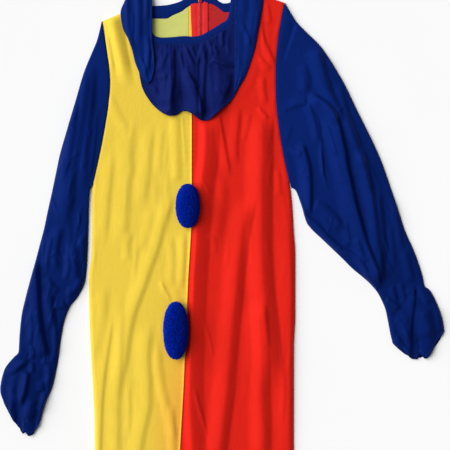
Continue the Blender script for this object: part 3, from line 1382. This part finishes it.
@dataclass
class Sleeve(Cloth):
    """A laid sleeve: a flat underside and a folded upper side, gathered at the wrist.

    Its first row is the armhole. Past the elastic it opens into a frill.
    """

    sections: Array  # of the panel that it is sewn to
    rings: Array
    creases: Sequence[Crease]
    side: float
    elastic_row: int  # ring at the elastic
    phase: float
    hem: Array  # share across, and how far the frill hangs down there
    count: int = 92  # even columns of the upper side
    under_count: int = 9
    step: float = 2.7
    fill_rows: float = 2.4  # rows below the armhole over which its folds grow
    puckers: float = 9.0  # small gathers across the elastic
    pucker_height: float = 0.55
    pucker_reach: float = 16.0
    frill_waves: float = 2.6
    frill_height: float = 1.8
    frill_scallop: float = 1.6
    frill_opening: float = 46.0  # distance past the elastic over which it opens
    hem_from: float = 0.45  # share of the frill's length at which its hem starts to hang
    elastic_dip: float = 1.0
    elastic_half: float = 6.0
    seam_dip: float = 0.9
    seam_dip_width: float = 2.4
    lowest: float = LOWEST_TOP - 0.8
    held: ClassVar[Hold] = Hold.GATHERED

    def armhole(self) -> Array:
        """Move the panel's armhole edge out by the seam's gap, more at its two corners.

        Returns:
            Places along the sleeve's own edge.
        """
        underarm = int(np.argmax(self.sections[:, 5] > 0.0))
        edge = self.sections[:underarm + 1, 2:4]
        apart = np.full((len(edge), 1), SEAM_GAP)
        apart[[0, -1]] = CORNER_GAP
        run = unit(np.gradient(edge, axis=0))
        edge = edge - self.side * apart * np.column_stack([run[:, 1], -run[:, 0]])
        return eased(edge, np.linspace(0.0, len(edge) - 1.0, 6 * len(edge)))

    def strip(self) -> tuple[Strip, Array, Array]:
        """The table's rows close together, the armhole first.

        Returns:
            The strip, the row numbers and the distances down the sleeve from the elastic,
            both as columns.
        """
        armhole = self.armhole()
        coarse = Strip(np.concatenate([[[*armhole[0], *armhole[-1], 0.0, 0.0, LOFT]], self.rings]))
        at = fine_rows(coarse.reach(), self.step)
        down = travelled(coarse.middle() + coarse.rows[:, 4:6])
        past = np.interp(at, np.arange(len(down)), down) - down[self.elastic_row + 1]
        return Strip(eased(coarse.rows, at)), at[:, None], past[:, None]

    def plan(self, strip: Strip, at: Array, share: Array) -> Array:
        """Places across each row: a line with a parabola's bow, or the armhole's own curve.

        Between the armhole and the first ring the places pass from one to the other.

        Args:
            strip: The rows.
            at: Their row numbers, as a column.
            share: Shares of the way across each.

        Returns:
            X and Y of the places.
        """
        curve = self.armhole()
        parts = share[..., None]
        bow = 4.0 * parts * (1.0 - parts) * strip.rows[:, None, 4:6]
        chord = curve[0] + parts * (curve[-1] - curve[0])
        bulge = along(curve, share.ravel()).reshape(chord.shape) - chord
        return strip.plan(share) + bow + bulge * np.clip(1.0 - at, 0.0, 1.0)[..., None]

    def gathers(self, share: Array, past: Array) -> Array:
        """Small puckers at the elastic, a dip along it, and the frill's waves past it.

        Each is an uneven wave across the sleeve times its own fading along the sleeve.

        Args:
            share: Shares of the way across.
            past: Distance past the elastic.

        Returns:
            Rise of each place.
        """
        across = np.sin(np.pi * np.clip(share, 0.0, 1.0)) ** 0.4
        drawn = self.pucker_height * np.exp(-np.abs(past) / self.pucker_reach)
        small = uneven_wave(share + 0.16 * np.sin(past / 9.0 + 7.0 * share), self.puckers, self.phase, 1.3)
        waves = self.frill_height * smooth(past / self.frill_opening) * self.frill_wave(share)
        return (small * drawn + waves) * across - self.elastic_dip * bell(past / self.elastic_half)

    def frill_wave(self, share: Array) -> Array:
        """The frill's uneven wave across the sleeve, -1 to 1."""
        return uneven_wave(share, self.frill_waves, self.phase + 1.0)

    def hanging(self, share: Array, past: Array) -> Array:
        """How far places move down the sleeve: the frill's scallops, and its hem's own drop."""
        scallop = self.frill_scallop * smooth(past / self.frill_opening) * self.frill_wave(share)
        near_hem = smooth((past / past[-1] - self.hem_from) / (1.0 - self.hem_from))
        return scallop + np.interp(share, *self.hem.T) * near_hem

    def build(self) -> None:
        """Rings of the upper side, turned down at both edges, and of the flat underside."""
        strip, at, past = self.strip()
        steps = EDGE_STEPS * np.ones_like(at)
        distance = strip.columns(steps, steps, self.count)
        share = distance / strip.width
        plan = self.plan(strip, at, share)
        round_top = np.sqrt(np.sin(np.pi * np.clip(share, 0.0, 1.0)))
        height = LOFT + (strip.rows[:, 6:7] - LOFT) * round_top
        height += (rise_of(self.creases, plan) - SETTLE) * smooth(at / self.fill_rows)
        height = np.maximum(height + self.gathers(share, past), self.lowest)
        height -= self.seam_dip * bell((past - past[0]) / self.seam_dip_width)
        height = turned_down(turned_down(height, distance), strip.width - distance)
        lean = unit(np.gradient(plan.mean(axis=1), axis=0))
        plan += self.hanging(share, past)[..., None] * lean[:, None, :]
        under = np.linspace(1.0, 0.0, self.under_count + 2)[None, 1:-1] * np.ones_like(at)
        plan = np.concatenate([plan, self.plan(strip, at, under)], axis=1)
        self.sew(plan, np.concatenate([height, np.zeros(under.shape)], axis=1), is_tube=True)


# -------- neck


@dataclass
class NeckBand(Cloth):
    """A folded strip of satin along the neckline, softly rounded between its two edges."""

    rows: Array
    wall: float = CLOTH
    lift: float = 0.0
    arch: float = 0.9
    edge_drop: float = 0.7
    edge_share: float = 0.12  # of the width, over which each edge drops
    count: int = 14
    step: float = 2.2
    pucker: float = 0.35
    pucker_pitch: float = 9.0
    pucker_share: float = 0.35  # of the width, over which the puckers die away
    held: ClassVar[Hold] = Hold.FOLDED

    def build(self) -> None:
        """Grid between the seam and the free edge.

        The height is the band's own, plus an arch of a sine across it, less a quick drop
        at both edges, with small puckers that die away from the seam.
        """
        strip = Strip(self.rows).finer(self.step)
        part = 0.5 - 0.5 * np.cos(np.pi * np.linspace(0.0, 1.0, self.count))[None, :]
        down = travelled(strip.rows[:, 0:2])[:, None]
        ripple = np.sin(2.0 * np.pi * down / self.pucker_pitch + 1.5 * np.sin(down / 23.0))
        arch = np.sin(np.pi * part)
        edges = 1.0 - smooth(np.minimum(part, 1.0 - part) / self.edge_share)
        puckers = self.pucker * ripple * np.exp(-part / self.pucker_share) * arch
        height = strip.rows[:, 4:5] + self.lift + self.arch * arch - self.edge_drop * edges + puckers
        self.sew(strip.plan(part), np.maximum(height, self.wall + 0.05), self.wall)


@dataclass
class FrontRuffle(Cloth):
    """The gathered ruffle below the front of the neck band."""

    layer: FrontLayer
    creases: Sequence[Crease]
    lift: float = 0.7  # its underside over the panel, at the seam
    seam_rise: float = 1.6  # of its seam over the neck band's
    seam_reach: float = 9.0  # how far the seam may move to meet the neck band
    tuck: float = 9.0  # by which its top corners run under the shoulder turns
    tuck_rise: float = 1.4  # by which the right one rises, in tucks
    end_share: float = 0.1  # of its width, over which each end is tucked under
    columns: int = 132
    spans: int = 52
    gathers: float = 21.0
    gather_height: float = 0.9
    gather_reach: float = 9.0
    rim: float = 4.0
    rim_lift: float = 0.35
    held: ClassVar[Hold] = Hold.GATHERED

    def build(self) -> None:
        """Grid from the seam to the free edge.

        The underside follows the front layer, plus a wave that opens from the seam, small
        gathers that die away from it, the creases, and a narrow hem along the free edge.
        """
        rows = eased(FRONT_RUFFLE, np.linspace(0.0, len(FRONT_RUFFLE) - 1.0, self.columns + 1))
        part = np.linspace(0.0, 1.0, self.spans + 1)[:, None]
        across = np.linspace(0.0, 1.0, self.columns + 1)[None, :]
        seam = rows[:, 0:2].copy()
        band_y = np.interp(seam[:, 0], FRONT_BAND[:, 0], FRONT_BAND[:, 1])
        seam[:, 1] = np.minimum(band_y + self.seam_rise, seam[:, 1] + self.seam_reach)
        plan = seam[None] + part[..., None] * (rows[:, 2:4] - seam)[None]
        under_left, under_right = (smooth(1.0 - at / self.end_share) for at in (across, 1.0 - across))
        plan[..., 0] += self.tuck * (under_right - under_left) * (1.0 - part)
        plan[..., 1] += self.tuck_rise * self.tuck * under_right * (1.0 - part)
        down = np.linalg.norm(plan - plan[:1], axis=2)
        opened = 0.2 + 0.8 * smooth(part * 1.3)
        small = 0.5 + 0.5 * uneven_wave(across, self.gathers, 0.9, stray=1.6)
        small = self.gather_height * small * np.exp(-down / self.gather_reach)
        ends = smooth(np.minimum(across, 1.0 - across) / self.end_share)
        rim = self.rim_lift * smooth(self.rim - (down[-1:] - down))
        folds = (rows[None, :, 4] * opened + small + rise_of(self.creases, plan)) * ends
        self.sew(plan, self.layer.height(plan) + self.lift + WALL + folds + rim)


@dataclass
class ShoulderTurn(Cloth):
    """The ruffle where it lies turned over a shoulder, its hemmed edge towards the neck."""

    rows: Array
    creases: Sequence[Crease]
    waves: float = 2.0
    wave_height: float = 1.0
    wave_fade: float = 8.0  # height over its lowest row at which its folds are whole
    fold_roll: float = 7.0  # width over which the folded outer edge turns down
    fold_drop: float = 3.2
    columns: int = 34
    step: float = 2.4
    rim: float = 3.5
    rim_lift: float = 0.5
    held: ClassVar[Hold] = Hold.FOLDED

    def build(self) -> None:
        """Grid from the hemmed inner edge to the folded outer edge.

        The height is the row's own, plus soft waves along the length, the creases and the
        hem, less a quarter round down to the panel at the fold.
        """
        strip = Strip(self.rows).finer(self.step)
        part = np.linspace(0.0, 1.0, self.columns + 1)[None, :]
        plan = strip.plan(part)
        own = strip.rows[:, 4:5]
        waves = self.wave_height * np.sin(np.pi * part) * np.sin(self.waves * np.pi * part + 0.3) ** 2
        rim = self.rim_lift * smooth(self.rim - part * strip.width)
        inward = np.clip(1.0 - (1.0 - part) * strip.width / self.fold_roll, 0.0, 1.0)
        fold = self.fold_drop * (1.0 - np.sqrt(1.0 - inward ** 2))
        folds = waves + rise_of(self.creases, plan) + rim - fold
        self.sew(plan, own + folds * smooth((own - self.rows[0, 4]) / self.wave_fade))


# -------- zip


def copies(shape: tuple[Array, Array], places: Array, axes: Array, half: Array) -> tuple[Array, Array]:
    """Copies of one small closed shape: its place plus the sum of axis x half size x shape.

    Args:
        shape: Its points, within -1..1, and its faces.
        places: Centre of each copy.
        axes: Three unit vectors for each.
        half: Its three half sizes.

    Returns:
        All the points and all the faces.
    """
    template, faces = shape
    points = places[:, None, :] + np.einsum("pk,nkd->npd", template * half, axes)
    count = np.arange(len(places))[:, None, None] * len(template)
    return points.reshape(-1, 3), (faces[None] + count).reshape(-1, faces.shape[1])


def pill(sides: int = 6) -> tuple[Array, Array]:
    """A rounded bar along its first axis: three rings and two tips.

    Args:
        sides: Points round each ring.

    Returns:
        Points within -1..1 and triangles.
    """
    angle = np.linspace(0.0, 2.0 * np.pi, sides, endpoint=False)
    along_x = np.repeat([-0.8, 0.0, 0.8], sides)
    radius = np.repeat([0.72, 1.0, 0.72], sides)
    turn = np.tile(angle, 3)
    rings = np.column_stack([along_x, radius * np.cos(turn), radius * np.sin(turn)])
    points = np.concatenate([rings, [[-1.0, 0.0, 0.0], [1.0, 0.0, 0.0]]])
    return points, ball_faces(numbers(3, sides, is_closed=True))


def ball_faces(index: Array) -> Array:
    """Triangles between the closed rings of a ball, and from its two poles to them.

    Args:
        index: Point numbers, a ring a row, its first point again at its end. The two
            points past them are the poles, before the first ring and after the last one.

    Returns:
        Triangles.
    """
    first, last = index[0], index[-1]
    pole = np.full(len(first) - 1, index.max() + 1)
    return np.concatenate([
        ring_faces(index),
        np.column_stack([pole, first[1:], first[:-1]]),
        np.column_stack([last[:-1], last[1:], pole + 1]),
    ])


def ring_faces(index: Array) -> Array:
    """Triangles between rings: two for each four neighbours."""
    walls = quads(index)
    return np.concatenate([walls[:, [0, 3, 2]], walls[:, [0, 2, 1]]])


def frames_along(line: Array) -> Array:
    """Three unit vectors at each place of a line: along it, level across it, and up."""
    run = unit(np.gradient(line, axis=0))
    level = unit(np.cross([0.0, 0.0, 1.0], run))
    return np.stack([run, level, np.cross(run, level)], axis=1)


def signed_power(value: Array, power: float) -> Array:
    """Power of a sine or cosine that keeps its sign."""
    return np.sign(value) * np.abs(value) ** power


@dataclass
class BackZip:
    """The zip down the centre back: a puckered tape, its coil and its slider."""

    centre_x: float = 20.0
    top_y: float = 461.0
    foot_y: float = -60.0
    half_width: float = 16.0
    tape_top: float = 2.7
    tape_wall: float = 0.8
    bulge: float = 0.35
    channel: float = 0.35  # depth of the channel beside the coil
    channel_at: Place = (0.3, 0.09)  # its middle and width, in half widths of the tape
    swell: float = 0.2  # height of the soft ridge beyond it
    swell_at: Place = (0.62, 0.2)
    lean: float = 3.4  # by which its left edge stands out at the neck
    lean_foot: float = 345.0
    lean_reach: float = 110.0
    pitch: float = 1.35
    loop_half: tuple[float, float, float] = (1.7, 0.55, 0.55)
    loop_lean: float = 0.18  # radians, to one side and the other in turn
    loop_apart: float = 0.8  # of each side's loops, from the middle
    loop_lift: float = 0.45
    coil_gap: float = 4.0  # between the coil's ends and the tape's
    slider_half: tuple[float, float, float] = (4.5, 6.0, 1.3)
    ridge_half: tuple[float, float, float] = (1.5, 4.2, 0.5)
    ridge_lift: float = 0.75
    waist: float = 0.22  # share of its width by which the slider is drawn in
    waist_half: float = 2.6
    boxiness: tuple[float, float, float] = (0.35, 0.5, 0.6)  # powers: sides, outline, height

    def tape(self) -> Piece:
        """Grid down the zip: ripples in the tape's length that grow away from the coil.

        Returns:
            The tape.
        """
        across = np.linspace(-1.0, 1.0, 23)[None, :]
        down = np.linspace(self.top_y, self.foot_y, 210)[:, None]
        ripple = np.sin(down / 5.2 + 2.0 * np.sin(down / 29.0) + np.sign(across) * 0.9)
        height = self.tape_top + self.bulge * ripple * smooth(np.abs(across) * 1.6 - 0.3)
        for rise, (middle, width) in ((-self.channel, self.channel_at), (self.swell, self.swell_at)):
            height = height + rise * bell((np.abs(across) - middle) / width)
        x = self.centre_x + self.half_width * across * np.ones_like(down)
        x = x - self.lean * smooth((down - self.lean_foot) / self.lean_reach) * smooth(-across * 1.4)
        grid = np.stack([x, down * np.ones_like(across), height], axis=2)
        return dress(grid_piece("back_zip_tape", grid, self.tape_wall), ZIP_TAPE, "back_zip")

    def coil(self) -> Piece:
        """Loops of both sides' coil, in turn, each a short bar that leans a little.

        Returns:
            The coil.
        """
        y = np.arange(self.foot_y + self.coil_gap, self.top_y - self.coil_gap, 0.5 * self.pitch)
        side = np.where(np.arange(len(y)) % 2 == 0, -1.0, 1.0)
        height = np.full(len(y), self.tape_top + self.loop_lift)
        places = np.column_stack([self.centre_x + self.loop_apart * side, y, height])
        cosine, sine, nought = np.cos(self.loop_lean * side), np.sin(self.loop_lean * side), 0.0 * side
        rows = [[cosine, sine, nought], [-sine, cosine, nought], [nought, nought, nought + 1.0]]
        axes = np.moveaxis(np.array(rows), 2, 0)
        return dress(make_mesh("back_zip_coil", *copies(pill(), places, axes, self.loop_half)), ZIP_TEETH)

    def slider(self) -> None:
        """Body of the slider: a boxy rounded shape whose waist is drawn in, and its ridge.

        Each part is a superellipsoid: signed powers of sine and cosine in two angles.
        """
        low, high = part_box("zip_slider")
        centre = np.array((low + high) / 2.0) / MM
        turn, rise = np.meshgrid(np.linspace(0.0, 2.0 * np.pi, 41)[:-1], np.linspace(-0.5, 0.5, 15) * np.pi)
        sides, outline, upright = self.boxiness
        flat = signed_power(np.cos(rise), sides)
        lumps = []
        for half, lift, waist in (
            (self.slider_half, 0.0, self.waist), (self.ridge_half, self.ridge_lift, 0.0),
        ):
            x = half[0] * flat * signed_power(np.cos(turn), outline)
            y = half[1] * flat * signed_power(np.sin(turn), outline)
            x = x * (1.0 - waist * bell((y + 1.0) / self.waist_half))
            z = half[2] * signed_power(np.sin(rise), upright) + lift
            points = (np.stack([x, y, z], axis=2) + centre).reshape(-1, 3)
            lumps.append((points, quads(numbers(*turn.shape, is_closed=True))))
        piece = make_mesh("zip_slider_body", *join(lumps))
        shape = bmesh.new()
        shape.from_mesh(piece.data)
        bmesh.ops.remove_doubles(shape, verts=shape.verts, dist=POLE_GAP)
        bmesh.ops.recalc_face_normals(shape, faces=shape.faces)
        shape.to_mesh(piece.data)
        shape.free()
        dress(piece, ZIP_ENAMEL, "zip_slider")

    def build(self) -> None:
        """Make the tape, the coil and the slider."""
        tape, coil = self.tape(), self.coil()
        self.slider()


# -------- pompoms and sewing


@dataclass
class YarnPompom:
    """A dense ball of cut yarn on a core, flat where it is sewn to the front."""

    spot: Spot
    strands: int = 6200
    core_share: float = 0.74  # of the ball's half sizes, where the strands start
    core_lap: float = 0.1  # by which the core reaches past there
    thickness: float = 0.85  # radius of a strand at its root
    tip_share: float = 0.8  # of that radius, at its tip
    reach: Place = (0.92, 0.99)  # of the strands, in half sizes of the ball
    seat: float = 6.9
    middle_rise: float = 0.477  # of the centre over the seat, in half heights
    stray: float = 0.28  # of a strand's direction
    jitter: float = 0.02  # of its place on the ball
    bend: float = 0.7  # of its middle, in millimetres
    lowest: float = -0.34  # of the strands' directions, in Z
    depth: tuple[float, float, float] = (0.0, 0.75, 1.0)  # tone of a strand's rings, root to tip
    power: float = 2.2  # of the ball's outline, where 2 is an ellipsoid
    core_around: int = 28
    core_rings: int = 15

    def build(self) -> None:
        """Strands set out on a golden spiral over the ball, and the core under them.

        A strand is three rings of three points, from the core outward plus a random lean.
        """
        spot = self.spot
        half = np.array([spot.half_x, spot.half_y, spot.half_z])
        centre = np.array([spot.x, spot.y, self.seat + self.middle_rise * spot.half_z])
        draw = np.random.default_rng(spot.seed)
        number = np.arange(self.strands) + 0.5
        up = 1.0 - 2.0 * number / self.strands
        turn, ring = number * GOLDEN_TURN, np.sqrt(1.0 - up ** 2)
        way = np.column_stack([ring * np.cos(turn), ring * np.sin(turn), up])
        way = way[way[:, 2] > self.lowest]
        way = unit(way + draw.normal(0.0, self.jitter, way.shape))
        lean = unit(unit(way / half) + draw.normal(0.0, self.stray, way.shape))
        reach = draw.uniform(*self.reach, (len(way), 1))
        fuller = (np.abs(way) ** self.power).sum(axis=1, keepdims=True) ** (-1.0 / self.power)
        tip = way * half * reach * fuller
        root = tip - lean * np.linalg.norm(tip, axis=1)[:, None] * (1.0 - self.core_share)
        middle = 0.5 * (root + tip) + draw.normal(0.0, self.bend, way.shape)
        side = unit(np.cross(lean, draw.normal(0.0, 1.0, way.shape)))
        other = np.cross(lean, side)
        rings = [
            place + self.thickness * size * (math.cos(angle) * side + math.sin(angle) * other)
            for place, size in ((root, 1.0), (middle, 1.0), (tip, self.tip_share))
            for angle in (0.0, 2.0 * math.pi / 3.0, 4.0 * math.pi / 3.0)
        ]
        strands = (np.stack(rings, axis=1) + centre).reshape(-1, 3)
        strands[:, 2] = np.maximum(strands[:, 2], self.seat)
        one = np.concatenate([ring_faces(numbers(3, 3, is_closed=True)), [[6, 7, 8]]])
        faces = (one[None] + 9 * np.arange(len(way))[:, None, None]).reshape(-1, 3)
        core = self.core(centre, half * (self.core_share + self.core_lap))
        points, faces = join([(strands, faces), core])
        piece = make_mesh(spot.name + "_yarn", points, faces)
        colours = np.zeros((len(points), 4), np.float32)
        colours[:, 3] = 1.0
        colours[:len(strands), 0] = np.repeat(draw.uniform(0.0, 1.0, len(way)), 9)
        colours[:len(strands), 1] = np.tile(np.repeat(self.depth, 3), len(way))
        layer = piece.data.color_attributes.new(STRAND_TONE, "FLOAT_COLOR", "POINT")
        layer.data.foreach_set("color", colours.ravel())
        dress(piece, POMPOM_YARN, spot.name)

    def core(self, centre: Array, half: Array) -> tuple[Array, Array]:
        """A closed ball of triangles, cut flat at the seat: sines and cosines of two angles.

        Args:
            centre: Its middle.
            half: Its half sizes.

        Returns:
            Points and triangles.
        """
        turn, rise = np.meshgrid(
            np.linspace(0.0, 2.0 * np.pi, self.core_around, endpoint=False),
            np.linspace(-0.49, 0.49, self.core_rings) * np.pi,
        )
        ball = np.stack([np.cos(rise) * np.cos(turn), np.cos(rise) * np.sin(turn), np.sin(rise)], axis=2)
        rings = ball * half + centre
        rings[..., 2] = np.maximum(rings[..., 2], self.seat)
        poles = rings[[0, -1]].mean(axis=1)
        index = numbers(self.core_rings, self.core_around, is_closed=True)
        return np.concatenate([rings.reshape(-1, 3), poles]), ball_faces(index)


@dataclass
class Stitching:
    """Lines of machine stitches that lie on a piece's surface."""

    name: str
    lines: Sequence[Array]
    finish: Enamel
    pitch: float = 3.2
    stitch: float = 2.3
    radius: float = 0.26
    lift: float = 0.12

    def build(self) -> None:
        """Short pills along each line, one pitch apart, lifted a little off the cloth."""
        rows = []
        for line in self.lines:
            count = max(2, int(travelled(line)[-1] / self.pitch))
            places = along(line, (np.arange(count) + 0.5) / count) + (0.0, 0.0, self.lift)
            half = (0.5 * self.stitch, self.radius, self.radius)
            rows.append(copies(pill(5), places, frames_along(places), half))
        dress(make_mesh(self.name, *join(rows)), self.finish)


# -------- the studio


@dataclass
class Studio:
    """A pale floor, soft light from the left and a camera that looks straight down."""

    camera_x: float = 0.07
    view: float = 0.9  # side of the square that the camera sees, in metres
    lens: float = 100.0
    sensor: float = 36.0
    floor_half: float = 60.0
    floor_z: float = -0.02  # in millimetres
    key_power: float = 4.1
    key_angle: float = 66.0  # apparent width of the sun lamp, in degrees
    key_height: float = 40.0  # degrees over the floor
    key_heading: float = 162.0  # degrees round from +X, where the light stands
    world_strength: float = 0.21

    def floor(self) -> None:
        """A wide grid at the floor, in pale matt paint with a faint mottle."""
        x, y = np.meshgrid(*[np.linspace(-self.floor_half, self.floor_half, 9) / MM] * 2)
        points = np.stack([x, y, np.full(x.shape, self.floor_z)], axis=2).reshape(-1, 3)
        floor = make_mesh("floor", points, quads(numbers(*x.shape))[:, ::-1])
        board = Board("floor_paint")
        mottle = board.noise(board.place(), 3.0, 3.0)
        tone = board.mix(mottle, rgba(WHITE[:3], 0.9), rgba(WHITE[:3], 0.93))
        board.finish(tone, 0.9, Specular_IOR_Level=0.1)
        floor.data.materials.append(board.material)

    def lights(self) -> None:
        """A sun lamp of some width from the left, and an even pale world."""
        lamp = bpy.data.lights.new("key", "SUN")
        lamp.energy = self.key_power
        lamp.angle = math.radians(self.key_angle)
        key = linked("key", lamp)
        key.rotation_euler = (0.0, math.radians(90.0 - self.key_height), math.radians(self.key_heading))
        world = bpy.data.worlds.new("studio")
        bpy.context.scene.world = world
        world.use_nodes = True
        sky = world.node_tree.nodes["Background"]
        sky.inputs["Color"].default_value = WHITE
        sky.inputs["Strength"].default_value = self.world_strength

    def camera(self) -> None:
        """A camera over the chest, square to the floor, +Y up in its picture."""
        data = bpy.data.cameras.new("camera")
        data.lens = self.lens
        data.sensor_width = self.sensor
        data.clip_end = 200.0
        camera = linked("camera", data)
        camera.location = (self.camera_x, 0.0, self.view * self.lens / self.sensor + LOFT * MM)
        bpy.context.scene.camera = camera

    def build(self) -> None:
        """Set up the floor, the lights, the camera and how tones are shown."""
        self.floor()
        self.lights()
        self.camera()
        bpy.context.scene.view_settings.view_transform = "Standard"


# -------- the garment


def hem_line(grid: Array, from_end: float) -> Array:
    """The line on a grid's upper surface at a distance before its last row."""
    down = np.linalg.norm(np.diff(grid, axis=0), axis=2).mean(axis=1)[::-1]
    return grid[len(grid) - 2 - int(np.searchsorted(np.cumsum(down), from_end))]


def column_line(grid: Array, from_edge: float) -> Array:
    """The line on a grid at a distance from its first column, straight between columns.

    Args:
        grid: Rows by columns by three.
        from_edge: The distance.

    Returns:
        One place a row.
    """
    steps = np.linalg.norm(np.diff(grid, axis=1), axis=2)
    far = np.concatenate([np.zeros((len(grid), 1)), np.cumsum(steps, axis=1)], axis=1)
    row = np.arange(len(grid))
    low = (far < from_edge).sum(axis=1) - 1
    part = ((from_edge - far[row, low]) / steps[row, low])[:, None]
    return grid[row, low] + part * (grid[row, low + 1] - grid[row, low])


# Crinkles strewn over the sleeves: small creases that run down them, and finer, wilder ones
SMALL = {"spread": 16.0, "length": (24, 100), "width": (4, 11), "height": (0.4, 1.5)}
FINE = {"spread": 70.0, "length": (14, 44), "width": (3, 6), "height": (0.5, 1.6)}


def main() -> None:
    """Build the studio and, in order, every piece of the garment."""
    logging.basicConfig(level=logging.INFO, format="%(message)s")
    Studio().build()
    layer = FrontLayer(strewn_with(
        [*RED_CREASES, *YELLOW_CREASES],
        Crinkles(11, 34, (20, -1060), (205, 200), 268.0),
        Crinkles(12, 34, (-205, -1060), (-20, 200), 272.0),
        Crinkles(13, 14, (120, 90), (190, 400), 262.0, height=(0.2, 0.6)),
    ))
    right_creases = strewn_with(
        RIGHT_SLEEVE_CREASES,
        Crinkles(21, 60, (225, -100), (410, 340), 296.0, **SMALL),
        Crinkles(31, 70, (215, -230), (500, 380), 285.0, **FINE),
    )
    left_creases = strewn_with(
        LEFT_SLEEVE_CREASES,
        Crinkles(22, 52, (-330, -240), (-200, 310), 256.0, **SMALL),
        Crinkles(32, 64, (-370, -400), (-200, 330), 260.0, **FINE),
    )
    ruffle_creases = strewn_with(
        RUFFLE_CREASES,
        Crinkles(33, 26, (-70, 230), (88, 350), 280.0, 70.0, (10, 34), (3, 6), (0.5, 1.4)),
    )
    fronts = ["front_yellow_cloth", "front_red_cloth"]
    ruffle_cloth = "collar_ruffle_front_cloth"
    yellow = FrontPanel("front_yellow", YELLOW, (0.245, 1.58), 0.28, ["back_yellow_cloth"],
                        YELLOW_FRONT, -1.0, layer)
    red = FrontPanel("front_red", RED, (0.27, 1.6), 0.33, ["back_red_cloth"], RED_FRONT, 1.0, layer)
    turning = TurnedStrip()
    sleeve_right = Sleeve("sleeve_right", SLEEVE_BLUE, (0.42, 0.74), 0.2, ["floor"], RED_FRONT,
                          RIGHT_SLEEVE, right_creases, 1.0, elastic_row=14, phase=0.4, hem=RIGHT_HEM)
    sleeve_left = Sleeve("sleeve_left", SLEEVE_BLUE, (0.32, 0.78), 0.14, ["floor"], YELLOW_FRONT,
                         LEFT_SLEEVE, left_creases, -1.0, elastic_row=17, phase=2.1, hem=LEFT_HEM)
    band = NeckBand("neck_band_front", BLUE, (0.02, 0.31), None, fronts, FRONT_BAND)
    ruffle = FrontRuffle("collar_ruffle_front", NAVY, (0.36, 0.1), 0.03, fronts, layer, ruffle_creases)
    turn_left = ShoulderTurn("ruffle_turn_left", BLUE, (0.065, 0.22), 0.0095, [fronts[0], ruffle_cloth],
                             LEFT_TURN, LEFT_TURN_CREASES)
    turn_right = ShoulderTurn("ruffle_turn_right", BLUE, (0.06, 0.25), 0.0105, [fronts[1], ruffle_cloth],
                              RIGHT_TURN, RIGHT_TURN_CREASES)
    for piece in (
        yellow, red,
        BackPanel("back_yellow", YELLOW_INSIDE, (0.235, 1.55), 0.27, ["floor"],
                  YELLOW_FRONT, YELLOW_BACK_INNER, -1.0),
        BackPanel("back_red", RED_INSIDE, (0.25, 1.57), 0.295, ["floor"], RED_FRONT, RED_BACK_INNER, 1.0),
        turning, sleeve_right, sleeve_left, band,
        NeckBand("neck_band_back_left", BLUE, (0.024, 0.13), None, ["back_yellow_cloth"],
                 BACK_BAND_LEFT, wall=1.2, lift=0.75),
        NeckBand("neck_band_back_right", BLUE, (0.019, 0.1), None, ["back_red_cloth"],
                 BACK_BAND_RIGHT, wall=1.2, lift=0.75),
        ruffle, turn_left, turn_right, BackZip(),
        *(YarnPompom(spot) for spot in POMPOM_SPOTS),
    ):
        piece.build()
    inner = slice(4, -4)  # a hem's stitches stop short of its ends
    upper = slice(5, 2 * len(EDGE_STEPS) + Sleeve.count - 5)  # columns of a sleeve's upper side
    for stitches in (
        Stitching("stitches_yellow", [hem_line(yellow.grid, 12.0)[inner]], YELLOW_THREAD),
        Stitching("overlock", [turning.grid[2:-2, 0] + (0.0, 0.0, 0.2)], OVERLOCK, 1.7, 1.9, 0.42),
        Stitching("stitches_red", [hem_line(red.grid, 12.0)[inner]], RED_THREAD),
        Stitching("stitches_blue", [
            hem_line(sleeve_right.grid, 5.0)[upper], hem_line(sleeve_left.grid, 5.0)[upper],
            hem_line(ruffle.grid, 3.4)[inner],
            column_line(turn_left.grid, 3.0)[6:-4], column_line(turn_right.grid, 3.0)[6:-4],
            column_line(band.grid, 2.4)[3:-3],
        ], BLUE_THREAD),
    ):
        stitches.build()


if __name__ == "__main__":
    main()
